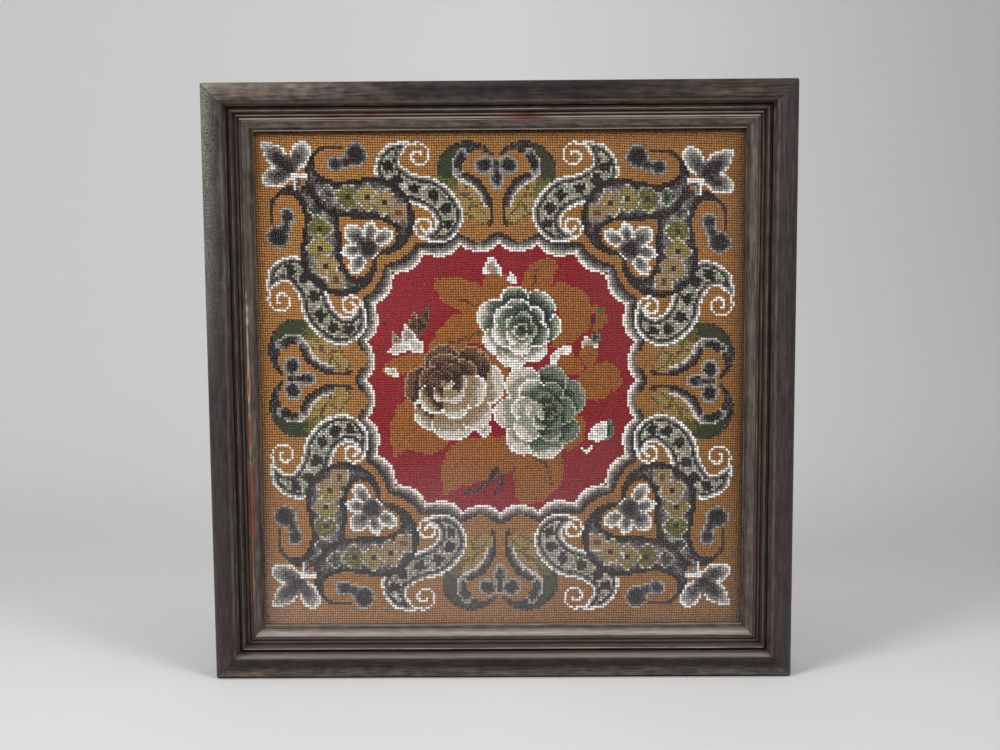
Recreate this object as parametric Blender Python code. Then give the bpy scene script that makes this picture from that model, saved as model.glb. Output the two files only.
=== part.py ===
"""A beadwork panel in its moulded wooden frame, standing upright on the frame's bottom edge.

Metres, +Z up. The origin is at the middle of the base: X runs along the bottom rail to the viewer's
right, -Y points to the viewer and Z goes up the face. Four mitred lengths of one moulding hold, from
front to back, a glass pane, the beadwork on its canvas, and a plain backing board in the rebate.
"""

import math

import bmesh
import bpy

MM = 0.001

# Driving dimensions of the frame, and of the moulding's section. In the section, "in" is the distance
# from the frame's outer edge towards the picture, and "behind" the distance behind its frontmost line.
FRAME_WIDTH = 465 * MM
FRAME_HEIGHT = 476 * MM
FRAME_DEPTH = 42 * MM
RAIL_WIDTH = 37.2 * MM

# The broad roll along the outer edge, half an ellipse
ROLL_HALF_WIDTH = 8.15 * MM
ROLL_RISE = 8.0 * MM
ROLL_STEPS = 24

# A thin fillet, a narrow groove and a flat lie between the roll and the reeds
FILLET_IN = (16.8 * MM, 18.0 * MM)
FILLET_BEHIND = 15.6 * MM
GROOVE_IN = (18.2 * MM, 19.0 * MM)
GROOVE_BEHIND = 18.6 * MM
FLAT_IN = (19.3 * MM, 20.1 * MM)
FLAT_BEHIND = 15.6 * MM

# One bold reed, then two small ones lower down towards the picture
REEDS = (
    {"middle": 21.5 * MM, "half_width": 1.3 * MM, "crest": 13.6 * MM, "foot": 15.4 * MM},
    {"middle": 24.8 * MM, "half_width": 1.2 * MM, "crest": 19.6 * MM, "foot": 20.9 * MM},
    {"middle": 27.6 * MM, "half_width": 1.1 * MM, "crest": 20.3 * MM, "foot": 21.5 * MM},
)
REED_STEPS = 6

# A shallow hollow slopes from the last reed to a deep step, and a narrow bead edges the opening
HOLLOW_IN = (29.1 * MM, 34.4 * MM)
HOLLOW_BEHIND = (21.1 * MM, 25.0 * MM)
HOLLOW_SAG = 0.4 * MM
HOLLOW_STEPS = 6
SIGHT_STEP = 2.4 * MM
SIGHT_BEAD_RADIUS = 0.7 * MM
SIGHT_BEAD_STEPS = 5
SIGHT_BEAD_BEHIND = 28.8 * MM

# The rebate at the back of the moulding, and what lies in it from front to back
LIP_THICKNESS = 2.9 * MM
REBATE_WIDTH = 7.2 * MM
FIT_GAP = 0.3 * MM
GLASS_THICKNESS = 2.0 * MM
BEADWORK_THICKNESS = 2.8 * MM
BOARD_THICKNESS = 3.0 * MM

# The four rails meet at mitres, a hair apart
MITRE_GAP = 0.3 * MM

WELD_DISTANCE = 0.01 * MM
CREASE_ANGLE = math.radians(35)

EBONISED_WOOD = {"colour": (0.062, 0.050, 0.044, 1.0), "roughness": 0.38}
CLEAR_GLASS = {"colour": (0.90, 0.94, 0.93, 1.0), "roughness": 0.05}
WOOL_AND_BEADS = {"colour": (0.26, 0.10, 0.06, 1.0), "roughness": 0.80}
BROWN_BOARD = {"colour": (0.30, 0.21, 0.13, 1.0), "roughness": 0.90}


def clear_scene():
    """Remove the objects that the file held before."""
    for old in list(bpy.data.objects):
        bpy.data.objects.remove(old)


def make_collection(name):
    """Make a collection under the scene's own."""
    collection = bpy.data.collections.new(name)
    bpy.context.scene.collection.children.link(collection)
    return collection


def make_material(name, finish):
    """Make a Principled material from a finish's colour and roughness."""
    material = bpy.data.materials.new(name)
    material.use_nodes = True
    shader = material.node_tree.nodes["Principled BSDF"]
    shader.inputs["Base Color"].default_value = finish["colour"]
    shader.inputs["Roughness"].default_value = finish["roughness"]
    shader.inputs["Metallic"].default_value = 0.0
    return material


def half_ellipse(middle, half_width, crest, foot, steps):
    """Points over the top of a half ellipse, from its outer foot to its inner one."""
    points = []
    for step in range(steps + 1):
        angle = math.pi * (1 - step / steps)
        inward = middle + half_width * math.cos(angle)
        behind = foot - (foot - crest) * math.sin(angle)
        points.append((inward, behind))
    return points


def fillet_groove_and_flat():
    """The flat-topped fillet beside the roll, the groove below it and the flat beyond the groove."""
    return [
        (FILLET_IN[0], FILLET_BEHIND),
        (FILLET_IN[1], FILLET_BEHIND),
        (GROOVE_IN[0], GROOVE_BEHIND),
        (GROOVE_IN[1], GROOVE_BEHIND),
        (FLAT_IN[0], FLAT_BEHIND),
        (FLAT_IN[1], FLAT_BEHIND),
    ]


def hollow_points():
    """The shallow hollow: a line between its two ends, sagging by a half sine in between."""
    points = []
    for step in range(HOLLOW_STEPS + 1):
        part = step / HOLLOW_STEPS
        inward = HOLLOW_IN[0] + (HOLLOW_IN[1] - HOLLOW_IN[0]) * part
        level = HOLLOW_BEHIND[0] + (HOLLOW_BEHIND[1] - HOLLOW_BEHIND[0]) * part
        points.append((inward, level + HOLLOW_SAG * math.sin(math.pi * part)))
    return points


def sight_edge_points():
    """The step beyond the hollow and the narrow bead round the opening."""
    step_in = HOLLOW_IN[1] + 0.2 * MM
    step_behind = HOLLOW_BEHIND[1] + SIGHT_STEP
    middle = RAIL_WIDTH - SIGHT_BEAD_RADIUS
    bead_foot = SIGHT_BEAD_BEHIND + SIGHT_BEAD_RADIUS
    bead = half_ellipse(middle, SIGHT_BEAD_RADIUS, SIGHT_BEAD_BEHIND, bead_foot, SIGHT_BEAD_STEPS)
    return [(step_in, step_behind), (bead[0][0], step_behind)] + bead


def rebate_and_back_points():
    """The lip's underside, the rebate's wall and the flat back."""
    lip_behind = SIGHT_BEAD_BEHIND + LIP_THICKNESS
    wall_in = RAIL_WIDTH - REBATE_WIDTH
    return [
        (RAIL_WIDTH, lip_behind),
        (wall_in, lip_behind),
        (wall_in, FRAME_DEPTH),
        (0.0, FRAME_DEPTH),
    ]


def section_points():
    """The moulding's whole section, as points (in, behind) that run once round it."""
    points = half_ellipse(ROLL_HALF_WIDTH, ROLL_HALF_WIDTH, 0.0, ROLL_RISE, ROLL_STEPS)
    points += fillet_groove_and_flat()
    for reed in REEDS:
        points += half_ellipse(reed["middle"], reed["half_width"], reed["crest"], reed["foot"], REED_STEPS)
    points += hollow_points()
    points += sight_edge_points()
    points += rebate_and_back_points()
    return points


def extruded_section(name, length):
    """A mesh of the section, drawn as a flat curve in X and Y and run along Z to the whole length."""
    points = section_points()
    outline = bpy.data.curves.new(name + "_section", "CURVE")
    outline.dimensions = "2D"
    outline.fill_mode = "BOTH"
    outline.extrude = length / 2
    spline = outline.splines.new("POLY")
    spline.points.add(len(points) - 1)
    for point, (inward, behind) in zip(spline.points, points):
        point.co = (inward, behind, 0.0, 1.0)
    spline.use_cyclic_u = True
    holder = bpy.data.objects.new(name + "_section", outline)
    bpy.context.scene.collection.objects.link(holder)
    bpy.context.view_layer.update()
    evaluated = holder.evaluated_get(bpy.context.evaluated_depsgraph_get())
    mesh = bpy.data.meshes.new_from_object(evaluated)
    mesh.name = name
    bpy.data.objects.remove(holder)
    bpy.data.curves.remove(outline)
    return mesh


def weld(mesh):
    """Join the caps to the sides and turn every face outwards."""
    form = bmesh.new()
    form.from_mesh(mesh)
    bmesh.ops.remove_doubles(form, verts=form.verts, dist=WELD_DISTANCE)
    bmesh.ops.recalc_face_normals(form, faces=form.faces)
    form.to_mesh(mesh)
    form.free()


def make_rail(name, length, location, turn, material, collection):
    """One mitred length of moulding, made lying along X with its outer side down, then turned about Y.

    Each end point moves back by its own distance from the outer edge, which cuts the end at 45 degrees.
    """
    mesh = extruded_section(name, length)
    set_back = MITRE_GAP / 2 * math.sqrt(2)
    for vertex in mesh.vertices:
        inward, behind, along = vertex.co
        end = math.copysign(length / 2 - set_back - inward, along)
        vertex.co = (end, behind - FRAME_DEPTH / 2, inward)
    weld(mesh)
    mesh.materials.append(material)
    mesh.shade_smooth()
    mesh.set_sharp_from_angle(angle=CREASE_ANGLE)
    rail = bpy.data.objects.new(name, mesh)
    rail.location = location
    rail.rotation_euler = (0.0, turn, 0.0)
    collection.objects.link(rail)


def make_frame(collection):
    """Four rails round the opening, each turned about Y until its outer side faces out."""
    wood = make_material("ebonised_wood", EBONISED_WOOD)
    half_width = FRAME_WIDTH / 2
    middle = FRAME_HEIGHT / 2
    quarter = math.pi / 2
    make_rail("rail_bottom", FRAME_WIDTH, (0.0, 0.0, 0.0), 0.0, wood, collection)
    make_rail("rail_top", FRAME_WIDTH, (0.0, 0.0, FRAME_HEIGHT), 2 * quarter, wood, collection)
    make_rail("rail_left", FRAME_HEIGHT, (-half_width, 0.0, middle), quarter, wood, collection)
    make_rail("rail_right", FRAME_HEIGHT, (half_width, 0.0, middle), -quarter, wood, collection)


def make_sheet(name, thickness, front, finish, collection):
    """A flat sheet that fills the rebate's width and height, with its front face at the given depth."""
    clearance = RAIL_WIDTH - REBATE_WIDTH + FIT_GAP
    size = (FRAME_WIDTH - 2 * clearance, thickness, FRAME_HEIGHT - 2 * clearance)
    form = bmesh.new()
    bmesh.ops.create_cube(form, size=1.0)
    bmesh.ops.scale(form, vec=size, verts=form.verts)
    mesh = bpy.data.meshes.new(name)
    form.to_mesh(mesh)
    form.free()
    mesh.materials.append(make_material(name + "_finish", finish))
    sheet = bpy.data.objects.new(name, mesh)
    sheet.location = (0.0, front + thickness / 2 - FRAME_DEPTH / 2, FRAME_HEIGHT / 2)
    collection.objects.link(sheet)


def make_filling(collection):
    """The glass, the beadwork and the backing board, one behind the other in the rebate."""
    glass_front = SIGHT_BEAD_BEHIND + LIP_THICKNESS + FIT_GAP
    beadwork_front = glass_front + GLASS_THICKNESS + FIT_GAP
    board_front = beadwork_front + BEADWORK_THICKNESS + FIT_GAP
    make_sheet("glass_pane", GLASS_THICKNESS, glass_front, CLEAR_GLASS, collection)
    make_sheet("beadwork_panel", BEADWORK_THICKNESS, beadwork_front, WOOL_AND_BEADS, collection)
    make_sheet("backing_board", BOARD_THICKNESS, board_front, BROWN_BOARD, collection)


def main():
    """Build the framed panel."""
    clear_scene()
    collection = make_collection("framed_beadwork_panel")
    make_frame(collection)
    make_filling(collection)


main()
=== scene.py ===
"""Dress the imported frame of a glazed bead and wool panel, and stand it in a plain studio.

The panel is worked like the real one: a chart says which shade each hole of the canvas takes, and
every glass bead and every wool stitch on the chart is a small solid of its own in a joined mesh.
"""

import logging
import math
from collections.abc import Callable
from dataclasses import dataclass, field
from enum import Enum

import bmesh
import bpy
import numpy as np
from mathutils import Matrix, Vector

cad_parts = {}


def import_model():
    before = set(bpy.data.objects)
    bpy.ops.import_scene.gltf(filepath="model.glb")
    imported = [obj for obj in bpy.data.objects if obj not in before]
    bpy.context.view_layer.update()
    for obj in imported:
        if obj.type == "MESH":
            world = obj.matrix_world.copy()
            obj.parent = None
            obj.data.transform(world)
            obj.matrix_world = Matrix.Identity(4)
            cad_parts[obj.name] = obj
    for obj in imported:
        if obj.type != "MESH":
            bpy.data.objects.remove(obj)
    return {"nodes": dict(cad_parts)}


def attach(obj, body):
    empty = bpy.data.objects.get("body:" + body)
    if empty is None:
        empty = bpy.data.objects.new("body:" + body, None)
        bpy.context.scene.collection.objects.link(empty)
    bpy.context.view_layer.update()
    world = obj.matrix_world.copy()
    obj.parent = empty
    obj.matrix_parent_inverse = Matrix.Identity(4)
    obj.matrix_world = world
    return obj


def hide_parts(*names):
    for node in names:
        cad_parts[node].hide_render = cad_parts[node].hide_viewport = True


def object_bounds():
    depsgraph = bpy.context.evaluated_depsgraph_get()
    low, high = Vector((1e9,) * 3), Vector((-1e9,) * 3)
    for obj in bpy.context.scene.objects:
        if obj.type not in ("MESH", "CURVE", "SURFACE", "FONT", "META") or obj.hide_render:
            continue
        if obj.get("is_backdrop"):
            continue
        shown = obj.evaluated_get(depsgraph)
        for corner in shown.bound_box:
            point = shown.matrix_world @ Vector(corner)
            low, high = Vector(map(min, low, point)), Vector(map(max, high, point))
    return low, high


MM = 0.001
LOG = logging.getLogger("beadwork_panel")

# The canvas's pitch across and up, in millimetres
STITCH_PITCH = (1.965, 1.980)
# The cosine between a point's two neighbours, past which the outline is nearly straight there
NEARLY_STRAIGHT = -0.92
# How far from a stroke its depth is still measured, in stitches, and the depth that is given beyond
STROKE_MARGIN = 12
FAR_OUTSIDE = -99.0

Point = tuple[float, float]
Array = np.ndarray
Socket = bpy.types.NodeSocket


def to_linear(red: float, green: float, blue: float) -> tuple[float, float, float, float]:
    """Turn a colour of 0 to 255 into the linear colour that shaders use.

    Args:
        red: The red value as seen on a screen.
        green: The green value as seen on a screen.
        blue: The blue value as seen on a screen.

    Returns:
        Red, green, blue and an alpha of one, in linear light.
    """
    linear = []
    for value in (red, green, blue):
        share = value / 255
        linear.append(share / 12.92 if share <= 0.04045 else ((share + 0.055) / 1.055) ** 2.4)
    return linear[0], linear[1], linear[2], 1.0


def rise(value: Array, start: float, reach: float) -> Array:
    """Say how far values have come on their way from a start, from 0 to 1.

    Args:
        value: The values.
        start: Where the way begins.
        reach: How long it is, below zero where it runs downwards.

    Returns:
        The share of the way that each value has come.
    """
    return np.clip((value - start) / reach, 0, 1)


class Shade(Enum):
    """The shades of bead and wool in the work box: a colour, and whether it is a glass bead."""

    WHITE = (250, 249, 244, True)
    CREAM = (222, 214, 200, True)
    BEIGE = (176, 162, 144, True)
    PALE_GREY = (168, 166, 160, True)
    GREY = (122, 117, 112, True)
    SLATE = (84, 79, 77, True)
    CHARCOAL = (38, 34, 33, True)
    BLACK = (17, 15, 15, True)
    PALE_SAGE = (166, 171, 150, True)
    SAGE = (114, 126, 106, True)
    DEEP_SAGE = (72, 88, 76, True)
    BOTTLE = (40, 52, 46, True)
    FAWN = (170, 140, 104, True)
    BROWN = (112, 76, 52, True)
    UMBER = (56, 35, 28, True)
    OCHRE = (190, 134, 70, False)
    OCHRE_SHADOW = (112, 72, 38, False)
    LEAF = (176, 108, 48, False)
    CRIMSON = (166, 24, 42, False)
    PLUM = (92, 32, 62, False)
    FOREST = (48, 74, 50, False)
    OLIVE = (112, 118, 58, False)
    LIME = (148, 152, 78, False)
    STRAW = (186, 162, 102, False)

    @property
    def number(self) -> int:
        """The shade's number on the chart."""
        return list(Shade).index(self)

    @property
    def is_bead(self) -> bool:
        """Whether the shade is worked in beads."""
        return self.value[3]


@dataclass
class Stroke:
    """A soft-edged brush stroke: points along it, each with its half width, in stitches."""

    points: list[tuple[float, float, float]]
    steps: int = 9

    def smooth(self) -> Array:
        """Pass a smooth curve through the points.

        Returns:
            Rows of position and half width, evenly spread between the points.
        """
        knots = np.array(self.points, float)
        knots = np.vstack([2 * knots[0] - knots[1], knots, 2 * knots[-1] - knots[-2]])
        rows = []
        for before, here, after, beyond in zip(knots, knots[1:], knots[2:], knots[3:]):
            for step in range(self.steps):
                t = step / self.steps
                rows.append(
                    0.5
                    * (
                        2 * here
                        + (after - before) * t
                        + (2 * before - 5 * here + 4 * after - beyond) * t * t
                        + (3 * here - before - 3 * after + beyond) * t**3
                    )
                )
        rows.append(knots[-2])
        return np.array(rows)

    def measure(self, a: Array, b: Array) -> tuple[Array, Array, Array]:
        """Measure each place on the chart against the stroke.

        Args:
            a: Places across the chart, in stitches.
            b: Places up the chart, in stitches.

        Returns:
            How deep each place lies inside the stroke's edge, how far along the stroke it is from
            0 to 1, and on which side of the middle line it is.
        """
        rows = self.smooth()
        depth = np.full(a.shape, FAR_OUTSIDE)
        along = np.zeros(a.shape)
        side = np.zeros(a.shape)
        near = (
            (a > rows[:, 0].min() - STROKE_MARGIN)
            & (a < rows[:, 0].max() + STROKE_MARGIN)
            & (b > rows[:, 1].min() - STROKE_MARGIN)
            & (b < rows[:, 1].max() + STROKE_MARGIN)
        )
        x, y = a[near], b[near]
        best = np.full(x.shape, FAR_OUTSIDE)
        best_along = np.zeros(x.shape)
        best_side = np.zeros(x.shape)
        ends = zip(rows, rows[1:])
        count = len(rows) - 1
        for number, (start, end) in enumerate(ends):
            step = end[:2] - start[:2]
            length = float(np.hypot(*step)) or 1e-6
            t = ((x - start[0]) * step[0] + (y - start[1]) * step[1]) / length**2
            t = np.clip(t, 0, 1)
            away = np.hypot(x - start[0] - t * step[0], y - start[1] - t * step[1])
            inside = start[2] + t * (end[2] - start[2]) - away
            better = inside > best
            across = (step[0] * (y - start[1]) - step[1] * (x - start[0])) / length
            best = np.where(better, inside, best)
            best_along = np.where(better, (number + t) / count, best_along)
            best_side = np.where(better, across, best_side)
        depth[near], along[near], side[near] = best, best_along, best_side
        return depth, along, side


@dataclass
class Spiral:
    """A curl drawn one stitch wide, winding in from its start to its middle."""

    middle: Point
    radius: float
    start: float
    turns: float
    inner: float = 0.9

    def stroke(self, half_width: float = 0.62) -> Stroke:
        """Make the curl's line.

        Args:
            half_width: Half the line's width, in stitches.

        Returns:
            The line as a stroke.
        """
        points = []
        steps = max(8, int(abs(self.turns) * 12))
        for step in range(steps + 1):
            part = step / steps
            angle = self.start + part * self.turns * 2 * math.pi
            reach = self.radius + (self.inner - self.radius) * part
            points.append(
                (
                    self.middle[0] + reach * math.cos(angle),
                    self.middle[1] + reach * math.sin(angle),
                    half_width,
                )
            )
        return Stroke(points, 3)


@dataclass
class Lobe:
    """One rounded lobe of a leaf or petal: a turned ellipse that its point narrows at the top."""

    middle: Point
    half_width: float
    half_height: float
    turn: float = 0.0
    point: float = 0.0

    def depth(self, a: Array, b: Array) -> Array:
        """Measure how deep each place lies inside the lobe, in stitches.

        Args:
            a: Places across the chart.
            b: Places up the chart.

        Returns:
            The depth, below zero outside.
        """
        cosine, sine = math.cos(self.turn), math.sin(self.turn)
        x = (a - self.middle[0]) * cosine + (b - self.middle[1]) * sine
        y = (b - self.middle[1]) * cosine - (a - self.middle[0]) * sine
        narrowing = 1 - self.point * np.clip(y / self.half_height, 0, 1)
        ratio = np.hypot(x / (self.half_width * np.maximum(narrowing, 0.05)), y / self.half_height)
        return (1 - ratio) * min(self.half_width, self.half_height)


def deepest(lobes: list[Lobe], a: Array, b: Array) -> Array:
    """Measure how deep each place lies inside a group of lobes, as Lobe.depth does for one."""
    return np.array([lobe.depth(a, b) for lobe in lobes]).max(axis=0)


@dataclass
class Chart:
    """The worked chart: one shade for every hole of the canvas, painted as soft shapes."""

    columns: int = 212
    rows: int = 218
    seed: int = 11

    def __post_init__(self) -> None:
        """Lay the ground and note where each hole is."""
        self.random = np.random.default_rng(self.seed)
        across = np.arange(self.columns) - (self.columns - 1) / 2
        up = np.arange(self.rows) - (self.rows - 1) / 2
        self.u, self.v = np.meshgrid(across, up)
        self.shade = np.full(self.u.shape, Shade.OCHRE.number)
        self.grain = self.random.random(self.u.shape)

    def drift(self) -> tuple[Array, Array]:
        """Say how far the worked cloth has been pulled out of square at each hole.

        Returns:
            How far each hole lies to the right and upwards of its even place, in stitches.
        """
        x, y = self.u / 100, self.v / 100
        right = -0.1 - 1.7 * y**2 * (1 - 0.4 * x**2)
        up = 0.35 - x * np.abs(x) * (1.3 + 1.3 * y)
        return right, up

    def paint(self, where: Array, shade: Shade) -> None:
        """Fill an area with one shade.

        Args:
            where: True at the holes to fill.
            shade: The shade that they take.
        """
        self.shade[where] = shade.number

    def blend(
        self, where: Array, value: Array, ramp: tuple[Shade, ...], speckle: float = 0.6
    ) -> None:
        """Fill an area with shades that change from the first of a ramp to its last.

        Args:
            where: True at the holes to fill.
            value: 0 for the ramp's first shade and 1 for its last.
            ramp: The shades in order.
            speckle: How many steps of the ramp a hole may stray, as hand shading does.
        """
        step = value * len(ramp) + (self.grain - 0.5) * speckle
        chosen = np.clip(np.floor(step), 0, len(ramp) - 1).astype(int)
        numbers = np.array([shade.number for shade in ramp])
        self.shade = np.where(where, numbers[chosen], self.shade)

    def line(self, stroke: Stroke, a: Array, b: Array, shade: Shade) -> None:
        """Work a line of stitches.

        Args:
            stroke: The line.
            a: Places across the chart.
            b: Places up the chart.
            shade: The line's shade.
        """
        depth, _, _ = stroke.measure(a, b)
        self.paint(depth > 0, shade)

    def layers(self, depth: Array, bands: tuple[tuple[float, Shade], ...], where: Array) -> None:
        """Shade an area in bands that follow its edge.

        Args:
            depth: How deep each hole lies inside the edge.
            bands: Each band's outer depth and its shade, from the edge inwards.
            where: True at the holes that may be filled.
        """
        uneven = depth + (self.grain - 0.5) * 0.7
        for number, (start, shade) in enumerate(bands):
            value = depth if number == 0 else uneven
            self.paint(where & (value > start), shade)


@dataclass
class Border:
    """The scrolls and leaves of the border, drawn once for an eighth of the panel and mirrored.

    Places are in stitches from the middle: a runs along a side and b out towards its edge.
    """

    chart: Chart
    offset: float = 1.0

    def views(self) -> list[tuple[Array, Array]]:
        """Read the chart mirrored, for the upright sides and for the level ones.

        Returns:
            For each, how far along a side and how far out each hole lies.
        """
        level = (np.abs(self.chart.u), np.abs(self.chart.v))
        upright = (np.abs(self.chart.v), np.abs(self.chart.u) + self.offset)
        return [upright, level]

    def work(self) -> None:
        """Paint every motif of the border, from the back to the front."""
        for a, b in self.views():
            self.side_horn(a, b)
            self.dotted_scroll(a, b)
            self.comma(a, b)
        for a, b in self.views():
            self.corner_horn(a, b)
        level = self.views()[1]
        self.palmette(*level)
        self.corner_leaf(*level)
        for a, b in self.views():
            self.trefoil(a, b)

    def dotted_scroll(self, a: Array, b: Array) -> None:
        """Paint the white-edged scroll with its dark dots and its two curls.

        Args:
            a: Places along the side.
            b: Places out towards the edge.
        """
        chart = self.chart
        body = Stroke(
            [
                (36, 96, 1),
                (42.5, 91.5, 4),
                (43.5, 84, 6),
                (36, 78.5, 6),
                (26, 75, 6.5),
                (20, 67, 6),
                (23, 60, 4),
                (31, 58, 1),
            ]
        )
        depth, _, _ = body.measure(a, b)
        inside = depth > 0
        bands = (
            (0.0, Shade.WHITE),
            (1.0, Shade.PALE_GREY),
            (1.4, Shade.GREY),
            (1.8, Shade.SLATE),
            (2.1, Shade.CHARCOAL),
            (2.9, Shade.SAGE),
        )
        chart.layers(depth, bands, inside)
        core = inside & (depth > 2.9)
        ramp = (Shade.PALE_SAGE, Shade.BEIGE, Shade.PALE_SAGE, Shade.SAGE, Shade.PALE_SAGE, Shade.CREAM)
        chart.blend(core, chart.grain, ramp, 0.2)
        rows = body.smooth()
        for number in range(6):
            row = rows[round(len(rows) * (0.24 + 0.105 * number))]
            away = np.hypot(a - row[0], b - row[1])
            chart.paint(inside & (away < 2.6) & (chart.grain > 0.6), Shade.CHARCOAL)
            chart.paint(inside & (away < 1.9), Shade.BLACK)
        chart.line(Spiral((31.5, 91), 5.4, math.radians(60), 1.3, 1.2).stroke(0.56), a, b, Shade.WHITE)
        chart.line(Spiral((30, 62.5), 4.8, math.radians(-90), 1.25, 1.2).stroke(0.56), a, b, Shade.WHITE)

    def side_horn(self, a: Array, b: Array) -> None:
        """Paint the green and straw horn beside the middle of a side.

        Args:
            a: Places along the side.
            b: Places out towards the edge.
        """
        chart = self.chart
        body = Stroke(
            [
                (1, 91, 0.5),
                (7, 94.5, 1.3),
                (14, 93, 3.5),
                (19, 87, 5),
                (17.5, 80.5, 6),
                (11.5, 75, 7.5),
                (8.5, 68, 7),
                (8.5, 60, 4),
            ]
        )
        depth, along, side = body.measure(a, b)
        inside = depth > 0
        ramp = (
            Shade.FOREST,
            Shade.FOREST,
            Shade.OLIVE,
            Shade.LIME,
            Shade.STRAW,
            Shade.STRAW,
            Shade.OCHRE,
        )
        chart.blend(inside, np.clip((along - 0.36) / 0.6, 0, 0.999), ramp, 0.9)
        edging = (Shade.BROWN, Shade.OCHRE, Shade.OLIVE)
        for middle, turn in (((14, 79.5), -20), ((9, 75.5), -35), ((13, 71), -30), ((8, 67), -40)):
            leaflet = Lobe(middle, 2.2, 4.2, math.radians(turn)).depth(a, b)
            chart.blend(inside & (leaflet > -0.5), chart.grain, edging, 0.1)
            chart.paint(inside & (leaflet > 0.1), Shade.STRAW)
        concave = inside & (side < 0)
        ramp = (
            Shade.BLACK,
            Shade.CHARCOAL,
            Shade.CHARCOAL,
            Shade.SLATE,
            Shade.GREY,
            Shade.CREAM,
            Shade.CREAM,
        )
        band = 4.4
        value = np.clip(depth / band, 0, 0.999)
        chart.blend(concave & (depth < band) & (along < 0.84), value, ramp, 1.4)
        chart.paint(concave & (depth < 1.4) & (along >= 0.84) & (along < 0.93), Shade.UMBER)
        tip = inside & (along < 0.3)
        chart.blend(tip, chart.grain, (Shade.CHARCOAL, Shade.BLACK, Shade.SLATE, Shade.CHARCOAL), 0.1)
        edge = inside & (side > 0) & (depth < 0.9) & (along < 0.5)
        chart.blend(edge, chart.grain, (Shade.CHARCOAL, Shade.BLACK, Shade.SLATE), 0.1)
        crescent = Lobe((14.5, 88.5), 3, 5.5, math.radians(15)).depth(a, b)
        bands = ((0.0, Shade.PALE_GREY), (0.6, Shade.GREY), (1.0, Shade.CHARCOAL), (1.8, Shade.BLACK))
        chart.layers(crescent, bands, inside & (crescent > 0))

    def corner_horn(self, a: Array, b: Array) -> None:
        """Paint the great horn that leans against its twin at the corner.

        Args:
            a: Places along the side.
            b: Places out towards the edge.
        """
        chart = self.chart
        body = Stroke(
            [
                (62, 93, 0.5),
                (70, 93.5, 0.7),
                (75.5, 88, 1.3),
                (75, 80.5, 3.5),
                (68, 74, 6.5),
                (58, 73, 7.7),
                (48, 73.5, 8.5),
                (40.5, 68, 6),
                (38.5, 60, 3),
                (43, 53.5, 1.4),
                (51, 51, 0.6),
            ]
        )
        depth, along, _ = body.measure(a, b)
        inside = depth > 0
        ramp = (Shade.BLACK, Shade.CHARCOAL, Shade.SLATE, Shade.GREY, Shade.GREY, Shade.PALE_GREY)
        chart.blend(inside, np.clip((depth - 0.8) / 5.4, 0, 0.999), ramp, 2.2)
        chart.paint(inside & (depth < 1.2), Shade.BLACK)
        chart.paint(inside & (along < 0.15), Shade.UMBER)
        for middle, size, turn, petal, heart in (
            ((69, 75), 4, 0, (Shade.DEEP_SAGE, Shade.BOTTLE, Shade.SAGE), Shade.BOTTLE),
            ((61, 74), 5.5, 8, (Shade.OLIVE, Shade.LIME, Shade.OLIVE), Shade.UMBER),
            ((53, 74), 5.5, 0, (Shade.LIME, Shade.STRAW, Shade.STRAW), Shade.UMBER),
            ((46, 72), 5.5, 20, (Shade.STRAW, Shade.STRAW, Shade.FAWN), Shade.UMBER),
            ((40.5, 68), 4.5, 45, (Shade.FAWN, Shade.STRAW, Shade.FAWN), Shade.BROWN),
        ):
            where = inside & (depth > 1.6)
            self.eye((a, b), where, middle, size, math.radians(turn), (petal, heart))

    def eye(
        self,
        place: tuple[Array, Array],
        where: Array,
        middle: Point,
        size: float,
        turn: float,
        shades: tuple[tuple[Shade, ...], Shade],
    ) -> None:
        """Paint one diamond-shaped eye with a pale fringe.

        Args:
            place: The chart's places, along the side and outwards.
            where: True at the holes that may be filled.
            middle: The eye's middle.
            size: How far its corners reach, in stitches.
            turn: How far it is turned.
            shades: The shades of its petals, and the shade of its heart.
        """
        chart = self.chart
        a, b = place[0] - middle[0], place[1] - middle[1]
        along = np.abs(a * math.cos(turn) + b * math.sin(turn)) / size
        out = np.abs(b * math.cos(turn) - a * math.sin(turn)) / size
        reach = along + out
        fringe = (Shade.CREAM, Shade.PALE_GREY, Shade.BEIGE, Shade.GREY)
        chart.blend(where & (reach < 1.25), chart.grain, fringe, 0.1)
        chart.blend(where & (reach < 0.98), chart.grain, shades[0], 0.1)
        chart.paint(where & (np.hypot(a, b) < 1.15), shades[1])

    def comma(self, a: Array, b: Array) -> None:
        """Paint the dark comma of two lobes in the bend of the corner horn.

        Args:
            a: Places along the side.
            b: Places out towards the edge.
        """
        lobes = [
            Lobe((57, 91), 4.6, 5),
            Lobe((65.5, 87), 3.5, 3.2),
            Lobe((61, 88), 3.6, 2.6, math.radians(-25)),
        ]
        depth = deepest(lobes, a, b)
        bands = (
            (0.0, Shade.PALE_GREY),
            (0.6, Shade.GREY),
            (1.0, Shade.SLATE),
            (1.4, Shade.CHARCOAL),
            (2.4, Shade.BLACK),
        )
        self.chart.layers(depth, bands, depth > 0)

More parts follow.
